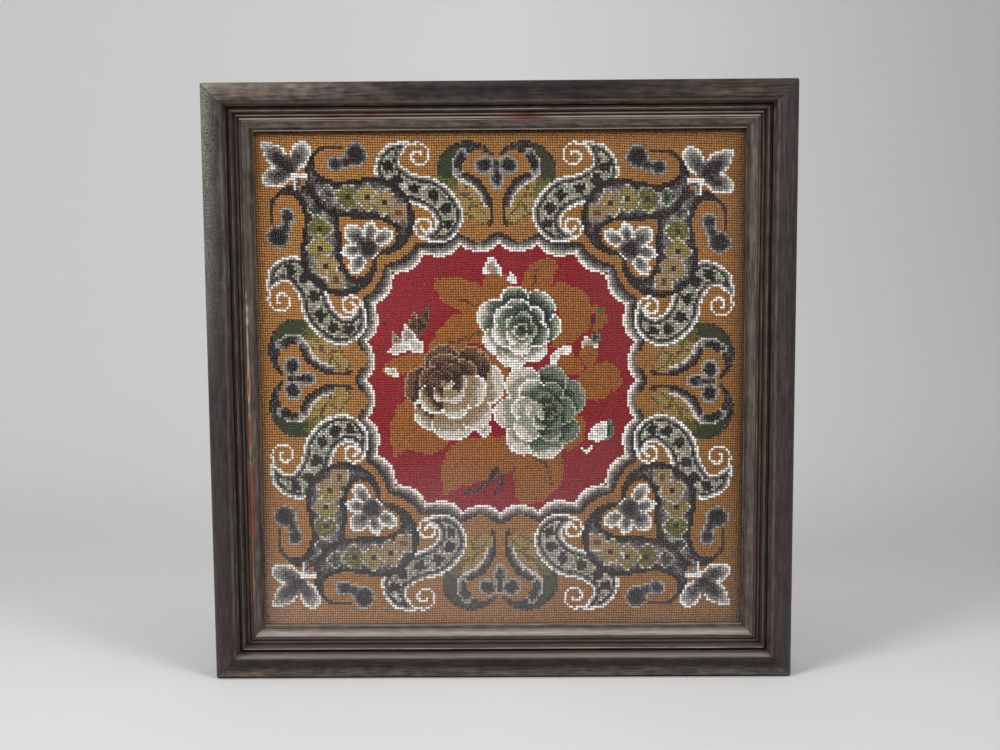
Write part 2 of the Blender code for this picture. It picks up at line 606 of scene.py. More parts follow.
    def many_lobed(
        self, lobes: list[Lobe], heart: Point, place: tuple[Array, Array], reach: float
    ) -> None:
        """Paint a leaf of several white-edged lobes that darken towards one heart.

        Args:
            lobes: The leaf's lobes.
            heart: Where the lobes meet.
            place: The chart's places.
            reach: How far from the heart the shading ends.
        """
        chart = self.chart
        depth = deepest(lobes, *place)
        inside = depth > 0
        away = np.hypot(place[0] - heart[0], place[1] - heart[1])
        dark = np.clip(0.86 - away / reach + (depth - 1.0) * 0.17, 0, 0.999)
        ramp = (Shade.PALE_GREY, Shade.GREY, Shade.GREY, Shade.SLATE, Shade.CHARCOAL, Shade.BLACK)
        chart.blend(inside, dark, ramp, 1.4)
        edge = inside & (away > reach * 0.42)
        chart.paint(edge & (depth < 0.9), Shade.WHITE)
        second = edge & (depth >= 0.9) & (depth < 1.4)
        chart.blend(second, chart.grain, (Shade.CREAM, Shade.PALE_GREY), 0.1)

    def corner_leaf(self, a: Array, b: Array) -> None:
        """Paint the three-lobed leaf in the corner, with its short stem.

        Args:
            a: Places along the side.
            b: Places out towards the edge.
        """
        lobes = [
            Lobe((80, 90), 4.2, 6.4, math.radians(28)),
            Lobe((90, 89.5), 4.6, 7.6, math.radians(-47), 0.45),
            Lobe((90, 81), 6.4, 4.2, math.radians(-12)),
            Lobe((85, 85), 3.6, 3.6),
        ]
        self.many_lobed(lobes, (85.5, 85.5), (a, b), 10)
        stem = (a > 77) & (a < 84) & (b > 79.5) & (b < 83)
        stem |= (a > 80) & (a < 83) & (b > 76) & (b < 80)
        self.chart.blend(stem, self.chart.grain, (Shade.GREY, Shade.PALE_GREY, Shade.SLATE), 0.1)
        self.chart.paint(stem & ((b > 81) | (a > 81.6)), Shade.WHITE)

    def palmette(self, a: Array, b: Array) -> None:
        """Paint the five-lobed palmette between the horns and the medallion.

        Args:
            a: Places along the side.
            b: Places out towards the edge.
        """
        heart = (53.5, 53.5)
        lobes = [Lobe(heart, 4.5, 4.5)]
        for swing, reach, half_width, half_height in (
            (0, 7.0, 4.0, 5.4),
            (-55, 6.4, 3.0, 4.8),
            (55, 6.4, 3.0, 4.8),
            (-100, 7.4, 3.2, 5.0),
            (100, 7.4, 3.2, 5.0),
        ):
            angle = math.radians(45 + swing)
            middle = (heart[0] + reach * math.cos(angle), heart[1] + reach * math.sin(angle))
            lobes.append(Lobe(middle, half_width, half_height, angle - math.pi / 2))
        self.chart.line(Stroke([(51.5, 51.5, 1.4), (50.5, 46, 0.7)]), a, b, Shade.UMBER)
        self.many_lobed(lobes, heart, (a, b), 10)

    def trefoil(self, a: Array, b: Array) -> None:
        """Paint the little trefoil that hangs at the middle of a side.

        Args:
            a: Places along the side.
            b: Places out towards the edge.
        """
        lobes = [
            Lobe((5, 87), 4.4, 3.8, math.radians(-20)),
            Lobe((0, 81.5), 3.2, 4.6),
            Lobe((0, 87), 2.6, 2.6),
        ]
        depth = deepest(lobes, a, b)
        bands = (
            (0.0, Shade.BEIGE),
            (0.4, Shade.PALE_GREY),
            (1.1, Shade.GREY),
            (1.5, Shade.CHARCOAL),
            (2.0, Shade.BLACK),
        )
        self.chart.layers(depth, bands, depth > 0)
        vein = (a < 0.8) & (b > 80.5) & (b < 89.5) & (depth > 0)
        self.chart.blend(vein, self.chart.grain, (Shade.CHARCOAL, Shade.BLACK, Shade.SLATE), 0.1)


@dataclass
class Medallion:
    """The crimson middle in its scalloped, white-edged band."""

    chart: Chart
    scallops: int = 24
    narrow_radius: float = 55.6
    corner_gain: float = 6.0
    bulge: float = 3.8
    band: float = 5.2
    crowding: float = math.radians(1.2)

    def work(self) -> None:
        """Paint the band and the crimson ground."""
        chart = self.chart
        radius = np.hypot(chart.u, chart.v)
        angle = np.arctan2(chart.v, chart.u)
        wave = np.abs(np.sin(self.scallops / 2 * (angle - self.crowding * np.sin(4 * angle)))) ** 0.72
        cusps = self.narrow_radius + self.corner_gain * np.sin(2 * angle) ** 2
        inner = cusps - self.bulge * wave
        outer = cusps + self.band - 0.75 * self.bulge * wave
        part = (radius - inner) / (outer - inner)
        in_band = (radius > inner) & (radius < outer)
        ramp = (
            Shade.WHITE,
            Shade.CREAM,
            Shade.BEIGE,
            Shade.GREY,
            Shade.SLATE,
            Shade.CHARCOAL,
            Shade.UMBER,
        )
        chart.blend(in_band, np.clip(part, 0, 0.999), ramp, 1.0)
        chart.paint(in_band & (radius - inner < 1.25), Shade.WHITE)
        chart.paint(radius <= inner, Shade.CRIMSON)


@dataclass
class Ring:
    """One ring of a rose's petals: how many, how far out they stand, and their half sizes.

    The distance and the sizes are shares of the rose's own reach.
    """

    petals: int
    distance: float
    half_width: float
    half_height: float


@dataclass
class Rose:
    """A full rose: rings of petals that overlap inwards, lit from one side, round a furled heart."""

    middle: Point
    reach: Point
    light: float
    sides: tuple[tuple[Shade, ...], ...]
    rims: tuple[Shade, ...]
    heart: Point = (0.0, 0.0)
    turn: float = 0.0
    core: float = 0.7
    rings: tuple[Ring, ...] = (
        Ring(7, 0.66, 0.38, 0.35),
        Ring(6, 0.42, 0.30, 0.28),
        Ring(5, 0.23, 0.19, 0.20),
        Ring(3, 0.09, 0.13, 0.12),
    )

    def work(self, chart: Chart) -> None:
        """Paint the rose from its outer petals to its heart.

        Args:
            chart: The chart to paint on.
        """
        across = (chart.u - self.middle[0]) / self.reach[0]
        up = (chart.v - self.middle[1]) / self.reach[1]
        away = np.hypot(across, up)
        chart.blend(away < self.core, away / self.core, self.sides[-1][::-1], 1.0)
        for level, ring in enumerate(self.rings):
            inset = level / len(self.rings)
            for number in range(ring.petals):
                angle = 2 * math.pi * (number + 0.5 * level) / ring.petals + math.radians(self.turn)
                angle += 0.14 * math.sin(5 * number + 2 * level)
                self.petal(chart, ring, angle, inset)

    def petal(self, chart: Chart, ring: Ring, angle: float, inset: float) -> None:
        """Paint one petal, light at its rim and darker towards the heart.

        Args:
            chart: The chart to paint on.
            ring: The ring that it stands in.
            angle: Its direction from the rose's middle.
            inset: How far its ring has moved from the rose's middle to its heart, from 0 to 1.
        """
        size = 1 + 0.12 * math.sin(3.1 * angle + 7 * inset)
        across = ring.distance * self.reach[0] * math.cos(angle) + inset * self.heart[0]
        up = ring.distance * self.reach[1] * math.sin(angle) + inset * self.heart[1]
        half_width = ring.half_width * size * self.reach[0]
        half_height = ring.half_height * size * self.reach[1]
        place = (self.middle[0] + across, self.middle[1] + up)
        lobe = Lobe(place, half_width, half_height, angle - math.pi / 2)
        depth = lobe.depth(chart.u, chart.v)
        inside = depth > 0
        outwards = (chart.u - place[0]) * math.cos(angle) + (chart.v - place[1]) * math.sin(angle)
        value = np.clip(0.92 * (1 - outwards / half_height), 0, 0.999)
        shadow = (1 - math.cos(angle - math.radians(self.light))) / 2 + 0.3 * inset
        side = min(int(shadow * len(self.sides)), len(self.sides) - 1)
        chart.blend(inside, value, self.sides[side], 0.8)
        rim = self.rims[side] if inset < 0.4 else self.sides[side][1]
        chart.paint(inside & (depth < 0.8) & (outwards > -0.1 * half_height), rim)


@dataclass
class Bouquet:
    """Three roses with their leaves and buds in the middle of the medallion."""

    chart: Chart

    def work(self) -> None:
        """Paint the leaves, the buds and then the roses."""
        self.leaves()
        self.buds()
        for rose in (self.pale_rose(), self.brown_rose(), self.green_rose()):
            rose.work(self.chart)

    def leaf(self, stroke: Stroke, vein: Stroke | None = None) -> None:
        """Work one wool leaf and its vein.

        Args:
            stroke: The leaf's shape.
            vein: The dark vein, if it has one.
        """
        chart = self.chart
        depth, along, side = stroke.measure(chart.u, chart.v)
        wavy = depth + 0.9 * np.abs(np.sin(14 * along + np.sign(side))) - 0.5
        chart.paint(wavy > 0, Shade.LEAF)
        if vein is not None:
            worn, _, _ = vein.measure(chart.u, chart.v)
            chart.paint((worn > 0) & (chart.grain > 0.25), Shade.OCHRE_SHADOW)

    def leaves(self) -> None:
        """Work the ring of leaves round the roses."""
        for shape, vein in (
            (
                [(-26, 41, 0.6), (-21, 37, 5), (-13, 34, 6.5), (-6, 30, 4)],
                [(-17, 33, 0.6), (-11, 31, 0.7), (-5, 27, 0.6)],
            ),
            (
                [(-27, 13, 3), (-20, 18, 6), (-12, 22, 7), (-3, 21, 7)],
                [(-22, 15, 0.6), (-14, 17, 0.7), (-6, 21, 0.6)],
            ),
            ([(20, 46, 3.5), (16, 42, 5.5), (15, 37, 6)], [(15, 45, 0.6), (14, 38, 0.6)]),
            ([(25, 35, 4.5), (30, 31, 6.5), (31, 25, 6.5), (26, 18, 3.5), (21, 14, 0.8)], None),
            ([(39, 28, 2.5), (41, 25, 3), (39, 22, 1.5)], None),
            ([(0, 38, 5), (0, 34, 6), (4, 32, 5)], None),
            ([(33, -2, 3), (38, -2, 6.5), (42, 1, 6.5), (47, -1, 3)], None),
            ([(31, -18, 3.5), (31, -23, 3.5), (28, -28, 2)], None),
            ([(-44, -31, 0.6), (-41, -24, 5), (-37, -17, 8), (-32, -14, 8)], None),
            ([(-36, -24, 5), (-29, -25, 5.5), (-22, -22, 3)], None),
            (
                [(-23, -47, 0.6), (-19, -39, 6), (-13, -34, 9.5), (-4, -32, 8.5), (4, -30, 6.5)],
                None,
            ),
            (
                [(9, -51, 0.6), (13, -44, 7.5), (16, -38, 10), (15, -31, 9)],
                [(13, -32, 0.6), (19, -36, 0.7), (21, -44, 0.6)],
            ),
            ([(-46, 4, 2.5), (-42, 6, 3.5), (-37, 7, 3.5), (-32, 8, 2.5)], None),
            (
                [(-4, 7, 5), (1, 4, 5.5), (4, -2, 5.5), (0, -9, 4)],
                [(3, 5, 0.6), (5, 0, 0.7), (4, -6, 0.6)],
            ),
            ([(27, 8, 3.5), (30, 5, 3.5)], None),
        ):
            self.leaf(Stroke(shape), vein and Stroke(vein))
        chart = self.chart
        for stem in (
            Stroke([(-15, -47, 0.7), (-10, -45, 1), (-5, -42, 1.1), (-2, -37, 1.2)]),
            Stroke([(-3, -48, 0.6), (0, -43, 0.8), (-1, -38, 0.6)]),
        ):
            depth, _, _ = stem.measure(chart.u, chart.v)
            chart.blend(depth > 0, chart.grain, (Shade.CHARCOAL, Shade.UMBER, Shade.SLATE), 0.1)
        chart.paint(Lobe((38, 25), 1.5, 2.5).depth(chart.u, chart.v) > 0, Shade.PLUM)
        chart.paint(Lobe((41.5, 28.5), 1.5, 2).depth(chart.u, chart.v) > 0, Shade.OLIVE)

    def buds(self) -> None:
        """Paint the small buds and loose petals."""
        chart = self.chart
        for across, up, half_width, half_height, turn, ramp in (
            (-3, 45, 4, 5.5, 10, (Shade.WHITE, Shade.WHITE, Shade.BEIGE)),
            (5, 41.5, 1.8, 2.8, 20, (Shade.WHITE, Shade.WHITE)),
            (-36, 22, 2.8, 6.5, -5, (Shade.FAWN, Shade.BROWN, Shade.UMBER)),
            (-32, 24, 2.4, 7.5, -22, (Shade.BROWN, Shade.UMBER, Shade.BROWN)),
            (-43, 16, 2.2, 4.5, 30, (Shade.BEIGE, Shade.FAWN, Shade.BROWN)),
            (-38, 17.5, 3.4, 5.5, 15, (Shade.WHITE, Shade.CREAM, Shade.BEIGE)),
            (-42, 13, 5, 2.4, 12, (Shade.WHITE, Shade.CREAM, Shade.CREAM)),
            (-35, 14, 3, 3.8, 45, (Shade.WHITE, Shade.CREAM, Shade.CREAM)),
            (-45, 3.5, 3.4, 2, -25, (Shade.WHITE, Shade.CREAM, Shade.BEIGE)),
            (25, 11, 4.6, 2.6, 35, (Shade.WHITE, Shade.WHITE, Shade.CREAM)),
            (22, 8.5, 2.4, 3, 0, (Shade.WHITE, Shade.CREAM)),
            (36, 14.5, 4, 3.4, 30, (Shade.WHITE, Shade.CREAM, Shade.BEIGE)),
            (39, 17.5, 2.2, 2.4, -30, (Shade.SAGE, Shade.BOTTLE)),
            (43.5, -20.5, 3.6, 5, -20, (Shade.SAGE, Shade.DEEP_SAGE, Shade.BOTTLE)),
            (41, -21, 3.8, 4.8, -25, (Shade.WHITE, Shade.WHITE, Shade.CREAM)),
            (38, -23, 2.2, 2.2, 0, (Shade.WHITE, Shade.CREAM)),
            (-7, -20, 3, 3.6, 0, (Shade.WHITE, Shade.CREAM, Shade.BEIGE)),
        ):
            bud = Lobe((across, up), half_width, half_height, math.radians(turn), 0.6)
            depth = bud.depth(chart.u, chart.v)
            chart.blend(depth > 0, np.clip(depth / 2.8, 0, 0.999), ramp, 1.0)
        for middle in ((36, 9.5), (27, 6), (-3, 39)):
            calyx = Lobe(middle, 4, 4.5, math.pi, 0.5).depth(chart.u, chart.v)
            chart.paint(calyx > 0, Shade.LEAF)
        for points in ([(33, -28, 0.6), (36, -31, 0.7)], [(35, -30.5, 0.5), (37.5, -28, 0.6)]):
            chart.line(Stroke(points), chart.u, chart.v, Shade.WHITE)

    def pale_rose(self) -> Rose:
        """Describe the white rose with grey-green shadows, at the top.

        Returns:
            The rose.
        """
        pale = (Shade.WHITE, Shade.WHITE, Shade.WHITE, Shade.CREAM, Shade.BEIGE, Shade.SAGE)
        middling = (Shade.WHITE, Shade.CREAM, Shade.PALE_SAGE, Shade.SAGE, Shade.DEEP_SAGE)
        deep = (Shade.CREAM, Shade.PALE_SAGE, Shade.SAGE, Shade.DEEP_SAGE, Shade.BOTTLE)
        return Rose(
            middle=(7.5, 22),
            reach=(17.5, 17),
            light=235,
            sides=(pale, middling, deep),
            rims=(Shade.WHITE, Shade.WHITE, Shade.WHITE),
            heart=(1, -3),
        )

    def brown_rose(self) -> Rose:
        """Describe the brown and cream rose, at the left.

        Returns:
            The rose.
        """
        pale = (
            Shade.WHITE,
            Shade.CREAM,
            Shade.CREAM,
            Shade.CREAM,
            Shade.BEIGE,
            Shade.BEIGE,
            Shade.FAWN,
        )
        middling = (Shade.WHITE, Shade.CREAM, Shade.BEIGE, Shade.FAWN, Shade.BROWN, Shade.UMBER)
        deep = (Shade.FAWN, Shade.BROWN, Shade.BROWN, Shade.UMBER, Shade.UMBER)
        return Rose(
            middle=(-19.5, -4.5),
            reach=(21, 20),
            light=305,
            sides=(pale, middling, deep),
            rims=(Shade.WHITE, Shade.WHITE, Shade.FAWN),
            heart=(-5, 6),
            turn=12,
        )

    def green_rose(self) -> Rose:
        """Describe the sage and cream rose, at the lower right.

        Returns:
            The rose.
        """
        pale = (Shade.WHITE, Shade.CREAM, Shade.CREAM, Shade.BEIGE, Shade.PALE_SAGE)
        middling = (Shade.CREAM, Shade.CREAM, Shade.PALE_SAGE, Shade.SAGE, Shade.DEEP_SAGE)
        deep = (Shade.PALE_SAGE, Shade.SAGE, Shade.SAGE, Shade.DEEP_SAGE, Shade.BOTTLE)
        return Rose(
            middle=(16, -13),
            reach=(19, 20),
            light=190,
            sides=(pale, middling, deep),
            rims=(Shade.WHITE, Shade.WHITE, Shade.PALE_SAGE),
            heart=(4, -1),
            turn=25,
        )


def work_chart() -> Chart:
    """Paint the whole design on a fresh chart.

    Returns:
        The finished chart.
    """
    chart = Chart()
    Medallion(chart).work()
    Border(chart).work()
    Bouquet(chart).work()
    return chart


class Graph:
    """A material's node graph, with short calls that add and join its nodes."""

    def __init__(self, name: str, **constants: object) -> None:
        """Make the material.

        Args:
            name: The material's name.
            constants: Values for the shader's own sockets, with _ for a space.
        """
        self.material = bpy.data.materials.new(name)
        self.material.use_nodes = True
        self.nodes = self.material.node_tree.nodes
        self.shader = self.nodes["Principled BSDF"]
        self.set(self.shader, **constants)

    def set(self, node: bpy.types.Node, **values: object) -> None:
        """Set a node's input sockets by their names.

        Args:
            node: The node.
            values: Values for its sockets, with _ for a space.
        """
        for name, value in values.items():
            node.inputs[name.replace("_", " ")].default_value = value

    def add(
        self, kind: str, links: dict[str | int, object] | None = None, **values: object
    ) -> bpy.types.Node:
        """Add a node.

        Args:
            kind: The node's type without its ShaderNode prefix.
            links: Output sockets to join to its inputs, by the input's name or number.
            values: Values for its sockets, with _ for a space.

        Returns:
            The node.
        """
        node = self.nodes.new("ShaderNode" + kind)
        self.set(node, **values)
        for name, source in (links or {}).items():
            self.join(source, node.inputs[name])
        return node

    def join(self, source: Socket, target: Socket) -> None:
        """Join an output socket to an input socket."""
        self.material.node_tree.links.new(source, target)

    def place(self, scale: tuple[float, float, float]) -> Socket:
        """Give the piece's own coordinates, stretched.

        Args:
            scale: How much the pattern is packed along X, Y and Z.

        Returns:
            The stretched coordinates.
        """
        place = self.add("TexCoord").outputs["Object"]
        return self.add("Mapping", {"Vector": place}, Scale=scale).outputs["Vector"]

    def noise(self, place: Socket, scale: float, detail: float = 3.0) -> Socket:
        """Add soft noise.

        Args:
            place: Where to read it.
            scale: How many lumps to a metre.
            detail: How many finer layers it has.

        Returns:
            Its value, about 0.25 to 0.75.
        """
        node = self.add("TexNoise", {"Vector": place}, Scale=scale, Detail=detail, Roughness=0.55)
        return node.outputs["Fac"]

    def ramp(self, value: Socket, stops: list[tuple[float, tuple]]) -> Socket:
        """Turn a value into a colour.

        Args:
            value: The value.
            stops: Each stop's place and linear colour.

        Returns:
            The colour.
        """
        node = self.add("ValToRGB", {"Fac": value})
        elements = node.color_ramp.elements
        for number, (place, colour) in enumerate(stops):
            element = elements[number] if number < 2 else elements.new(place)
            element.position = place
            element.color = colour
        return node.outputs["Color"]

    def span(self, value: Socket, low: float, high: float, to: Point = (0, 1)) -> Socket:
        """Stretch part of a value's range over another range, and clamp it there.

        Args:
            value: The value.
            low: What becomes the range's start.
            high: What becomes the range's end.
            to: The new range.

        Returns:
            The stretched value.
        """
        node = self.add("MapRange", {"Value": value})
        self.set(node, From_Min=low, From_Max=high, To_Min=to[0], To_Max=to[1])
        return node.outputs["Result"]

    def maths(self, kind: str, first: Socket, second: object) -> Socket:
        """Work out a value from two others.

        Args:
            kind: How they are joined, such as MULTIPLY.
            first: The first value.
            second: The second value, a socket or a number.

        Returns:
            The result.
        """
        node = self.add("Math", {0: first})
        node.operation = kind
        if isinstance(second, Socket):
            self.join(second, node.inputs[1])
        else:
            node.inputs[1].default_value = second
        return node.outputs["Value"]

    def mix(self, share: object, first: object, second: object, kind: str = "MIX") -> Socket:
        """Mix two colours.

        Args:
            share: How much of the second colour, a socket or a number.
            first: The first colour, a socket or a linear colour.
            second: The second colour, a socket or a linear colour.
            kind: How they mix.

        Returns:
            The mixed colour.
        """
        node = self.add("MixRGB")
        node.blend_type = kind
        for name, value in (("Fac", share), ("Color1", first), ("Color2", second)):
            if isinstance(value, Socket):
                self.join(value, node.inputs[name])
            else:
                node.inputs[name].default_value = value
        return node.outputs["Color"]

    def relief(self, height: Socket, depth: float, strength: float = 1.0) -> None:
        """Give the shader fine relief.

        Args:
            height: The relief's height, 0 to 1.
            depth: How deep a height of 1 is, in metres.
            strength: How much of it shows.
        """
        node = self.add("Bump", {"Height": height}, Distance=depth, Strength=strength)
        self.join(node.outputs["Normal"], self.shader.inputs["Normal"])

    def attribute(self, name: str, output: str = "Fac") -> Socket:
        """Read one of the piece's own attributes.

        Args:
            name: The attribute's name.
            output: How it is read, Fac for a number and Color for a colour.

        Returns:
            The attribute's value.
        """
        node = self.add("Attribute")
        node.attribute_name = name
        return node.outputs[output]

    def axes(self) -> bpy.types.NodeOutputs:
        """Split the piece's own coordinates into X, Y and Z."""
        return self.add("SeparateXYZ", {0: self.place((1.0, 1.0, 1.0))}).outputs

    def times(self, first: Socket, second: object) -> Socket:
        """Multiply a value by a socket's value or by a number."""
        return self.maths("MULTIPLY", first, second)

    def coloured(self, colour: Socket) -> bpy.types.Material:
        """Give the shader its colour, and give the material back."""
        self.join(colour, self.shader.inputs["Base Color"])
        return self.material


class Grain(Enum):
    """Which way the grain of a piece of wood runs: along the X axis or along the Z axis."""

    LEVEL = "x"
    UPRIGHT = "z"

    def stretch(self, along: float, across: float) -> tuple[float, float, float]:
        """Give the scale of a pattern that follows the grain.

        Args:
            along: The scale along the grain.
            across: The scale across it.

        Returns:
            The scale on X, Y and Z.
        """
        if self is Grain.LEVEL:
            return along, across, across
        return across, across, along


@dataclass(frozen=True)
class EbonisedWood:
    """Dark waxed moulding: red-brown and bare where it is rubbed, pale with a dusting on its ledges.

    The dusting also paints a sheen of light on the faces that look up. The harder rubbed crests of the
    top and bottom rails stand for painted highlights too, and the grooves take painted shade. gloss is
    the shader's specular level and coat the weight of the wax. dark, middle and light are the stain's
    tones. The other colours are the grounds, the cloudy wax with its painted sheen, the specks, the
    painted shade and the dusting over it.
    """

    grain: Grain
    gloss: float = 0.3
    coat: float = 0.05
    dark: tuple = to_linear(38, 31, 30)
    middle: tuple = to_linear(60, 51, 48)
    light: tuple = to_linear(84, 74, 69)
    painted_shade: tuple = to_linear(16, 12, 11)
    warm_ground: tuple = to_linear(92, 62, 54)
    pale_ground: tuple = to_linear(123, 110, 101)
    red_ground: tuple = to_linear(146, 68, 47)
    worn: tuple = to_linear(186, 170, 152)
    bloom_and_sheen: tuple = to_linear(140, 138, 130)
    speck: tuple = to_linear(168, 168, 156)
    dust_and_sheen_colour: tuple = to_linear(206, 195, 189)

    def material(self) -> bpy.types.Material:
        """Make the finish.

        Returns:
            The material.
        """
        graph = Graph(
            "ebonised_wood_" + self.grain.value,
            Specular_IOR_Level=self.gloss,
            Coat_Weight=self.coat,
            Coat_Roughness=0.25,
        )
        fibre = graph.noise(graph.place(self.grain.stretch(1.0, 14.0)), 48.0, 9.0)
        pores = graph.noise(graph.place(self.grain.stretch(1.0, 8.0)), 280.0, 3.0)
        patches = graph.noise(graph.place(self.grain.stretch(0.4, 1.0)), 34.0, 5.0)
        stain = graph.ramp(fibre, [(0.32, self.dark), (0.52, self.middle), (0.72, self.light)])
        stain = graph.mix(graph.span(patches, 0.4, 0.65, (0.0, 0.6)), stain, self.middle)
        dark_pores = graph.span(pores, 0.44, 0.36)
        stain = graph.mix(graph.times(dark_pores, 0.7), stain, self.dark)
        pale = graph.attribute("pale")
        pale = graph.times(pale, graph.span(fibre, 0.35, 0.65, (0.25, 0.9)))
        stain = graph.mix(pale, stain, self.pale_ground)
        mottles = graph.noise(graph.place(self.grain.stretch(0.6, 1.0)), 150.0, 6.0)
        stain = graph.mix(graph.span(mottles, 0.35, 0.65, (0.55, 0.0)), stain, self.dark)
        warm = graph.attribute("warm")
        warmed = graph.times(warm, graph.span(fibre, 0.3, 0.6, (0.5, 1.0)))
        colour = graph.mix(warmed, stain, self.warm_ground)
        colour = self.with_bloom_and_sheen(graph, colour, patches, mottles)
        colour = self.with_rubbing_and_highlights(graph, colour, warm)
        # deep mixes in painted shade: in the grooves, on the top rail's outer side, and as a contact
        # shadow along the bottom rail's lower edge
        deep = graph.attribute("deep")
        colour = graph.mix(deep, colour, self.painted_shade)
        # A dusting settles on the faces that look up, and the same amount paints a sheen of light on
        # them
        settled = graph.attribute("settled")
        streaks = graph.noise(graph.place(self.grain.stretch(0.35, 9.0)), 120.0, 5.0)
        dust_and_sheen_share = graph.times(settled, graph.span(patches, 0.36, 0.6, (0.8, 1.0)))
        dust_and_sheen_share = graph.times(dust_and_sheen_share, graph.span(streaks, 0.40, 0.60, (0.7, 1.08)))
        colour = graph.mix(graph.maths("MINIMUM", dust_and_sheen_share, 0.95), colour, self.dust_and_sheen_colour)
        graph.join(graph.span(fibre, 0.3, 0.7, (0.36, 0.52)), graph.shader.inputs["Roughness"])
        height = graph.maths("SUBTRACT", fibre, graph.times(dark_pores, 0.6))
        graph.relief(height, 0.00025, 0.55)
        return graph.coloured(colour)

    def with_bloom_and_sheen(self, graph: Graph, colour: Socket, patches: Socket, mottles: Socket) -> Socket:
        """Cloud the upper part of the frame, most at the left, partly as cloudy wax and partly as a
        painted sheen that grows with height, and speckle its upper left edge.

        Args:
            graph: The nodes.
            colour: The colour so far.
            patches: A coarse pattern along the grain.
            mottles: A finer pattern.

        Returns:
            The clouded colour.
        """
        parts = graph.axes()
        inward = graph.attribute("inward")
        leftward = graph.span(parts[0], -0.16, 0.10, (1.0, 0.1))
        # The cloud grows with height and towards the left: cloudy wax, and a painted sheen of light
        high = graph.times(graph.span(parts[2], 0.20, 0.45), leftward)
        cloud = graph.times(high, graph.span(patches, 0.44, 0.58, (0.05, 0.5)))
        cloud = graph.times(cloud, graph.span(mottles, 0.35, 0.6, (0.4, 1.2)))
        rising, falling = graph.span(inward, 11.0, 14.5), graph.span(inward, 17.0, 15.8)
        flank = graph.times(rising, falling)
        outer = graph.span(inward, 7.0, 3.0, (0.1, 0.7))
        cloud = graph.times(cloud, graph.maths("MAXIMUM", outer, flank))
        colour = graph.mix(cloud, colour, self.bloom_and_sheen)
        specks = graph.span(graph.noise(graph.place((1.0, 1.0, 1.0)), 1050.0, 3.0), 0.42, 0.62)
        left = graph.span(parts[0], -0.2190, -0.2300, (0.0, 0.8))
        share = graph.times(specks, left)
        share = graph.times(share, graph.span(parts[2], 0.24, 0.42))
        return graph.mix(share, colour, self.speck)

    def with_rubbing_and_highlights(self, graph: Graph, colour: Socket, warm: Socket) -> Socket:
        """Rub the raised lines through to the ground, red here and pale there. Where the top and bottom
        rails are rubbed harder, the pale crests also stand for painted highlights.

        Args:
            graph: The nodes.
            colour: The colour so far.
            warm: Where the ground is redder.

        Returns:
            The rubbed colour.
        """
        rub = graph.attribute("rub")
        streaks = graph.noise(graph.place(self.grain.stretch(0.5, 5.0)), 75.0, 6.0)
        through = graph.span(graph.times(rub, streaks), 0.18, 0.46)
        places = graph.noise(graph.place(self.grain.stretch(0.4, 1.0)), 11.0)
        red = graph.span(graph.maths("ADD", places, graph.times(warm, 0.06)), 0.56, 0.63)
        return graph.mix(through, colour, graph.mix(red, self.worn, self.red_ground))


@dataclass(frozen=True)
class BeadGlass:
    """Small glossy glass beads, each in its own shade."""

    roughness: float = 0.24
    coat: float = 0.25

    def material(self) -> bpy.types.Material:
        """Make the finish.

        Returns:
            The material.
        """
        graph = Graph("bead_glass", Roughness=self.roughness, Coat_Weight=self.coat, Coat_Roughness=0.12)
        return graph.coloured(graph.attribute("stitch_colour", "Color"))


@dataclass(frozen=True)
class WoolYarn:
    """Soft, matt wool yarn with fine fibres, each stitch in its own shade."""

    roughness: float = 0.92

    def material(self) -> bpy.types.Material:
        """Make the finish.

        Returns:
            The material.
        """
        graph = Graph(
            "wool_yarn",
            Roughness=self.roughness,
            Specular_IOR_Level=0.12,
            Sheen_Weight=0.1,
            Sheen_Roughness=0.5,
        )
        fibres = graph.noise(graph.place((1.0, 1.0, 2.6)), 1500.0, 2.0)
        own = graph.attribute("stitch_colour", "Color")
        shaded = graph.mix(graph.span(fibres, 0.35, 0.65), own, (0.55, 0.55, 0.55, 1.0), "MULTIPLY")
        colour = graph.mix(0.35, own, shaded)
        graph.relief(fibres, 0.00018, 0.6)
        return graph.coloured(colour)


@dataclass(frozen=True)
class CanvasThread:
    """The stiff brown canvas that shows between the stitches and at the back."""

    thread: tuple = to_linear(96, 66, 40)
    gap: tuple = to_linear(46, 32, 22)

    def material(self) -> bpy.types.Material:
        """Make the finish.

        Returns:
            The material.
        """
        graph = Graph("canvas_thread", Roughness=0.95, Specular_IOR_Level=0.15)
        heights = []
        for axis, pitch in zip((0, 2), STITCH_PITCH):
            place = graph.axes()[axis]
            turns = graph.times(place, 2 * math.pi / (pitch * MM))
            heights.append(graph.span(graph.maths("COSINE", turns, 0.0), -1.0, 1.0))
        weave = graph.maths("MAXIMUM", heights[0], heights[1])
        colour = graph.mix(weave, self.gap, self.thread)
        graph.relief(weave, 0.0003, 0.6)
        return graph.coloured(colour)


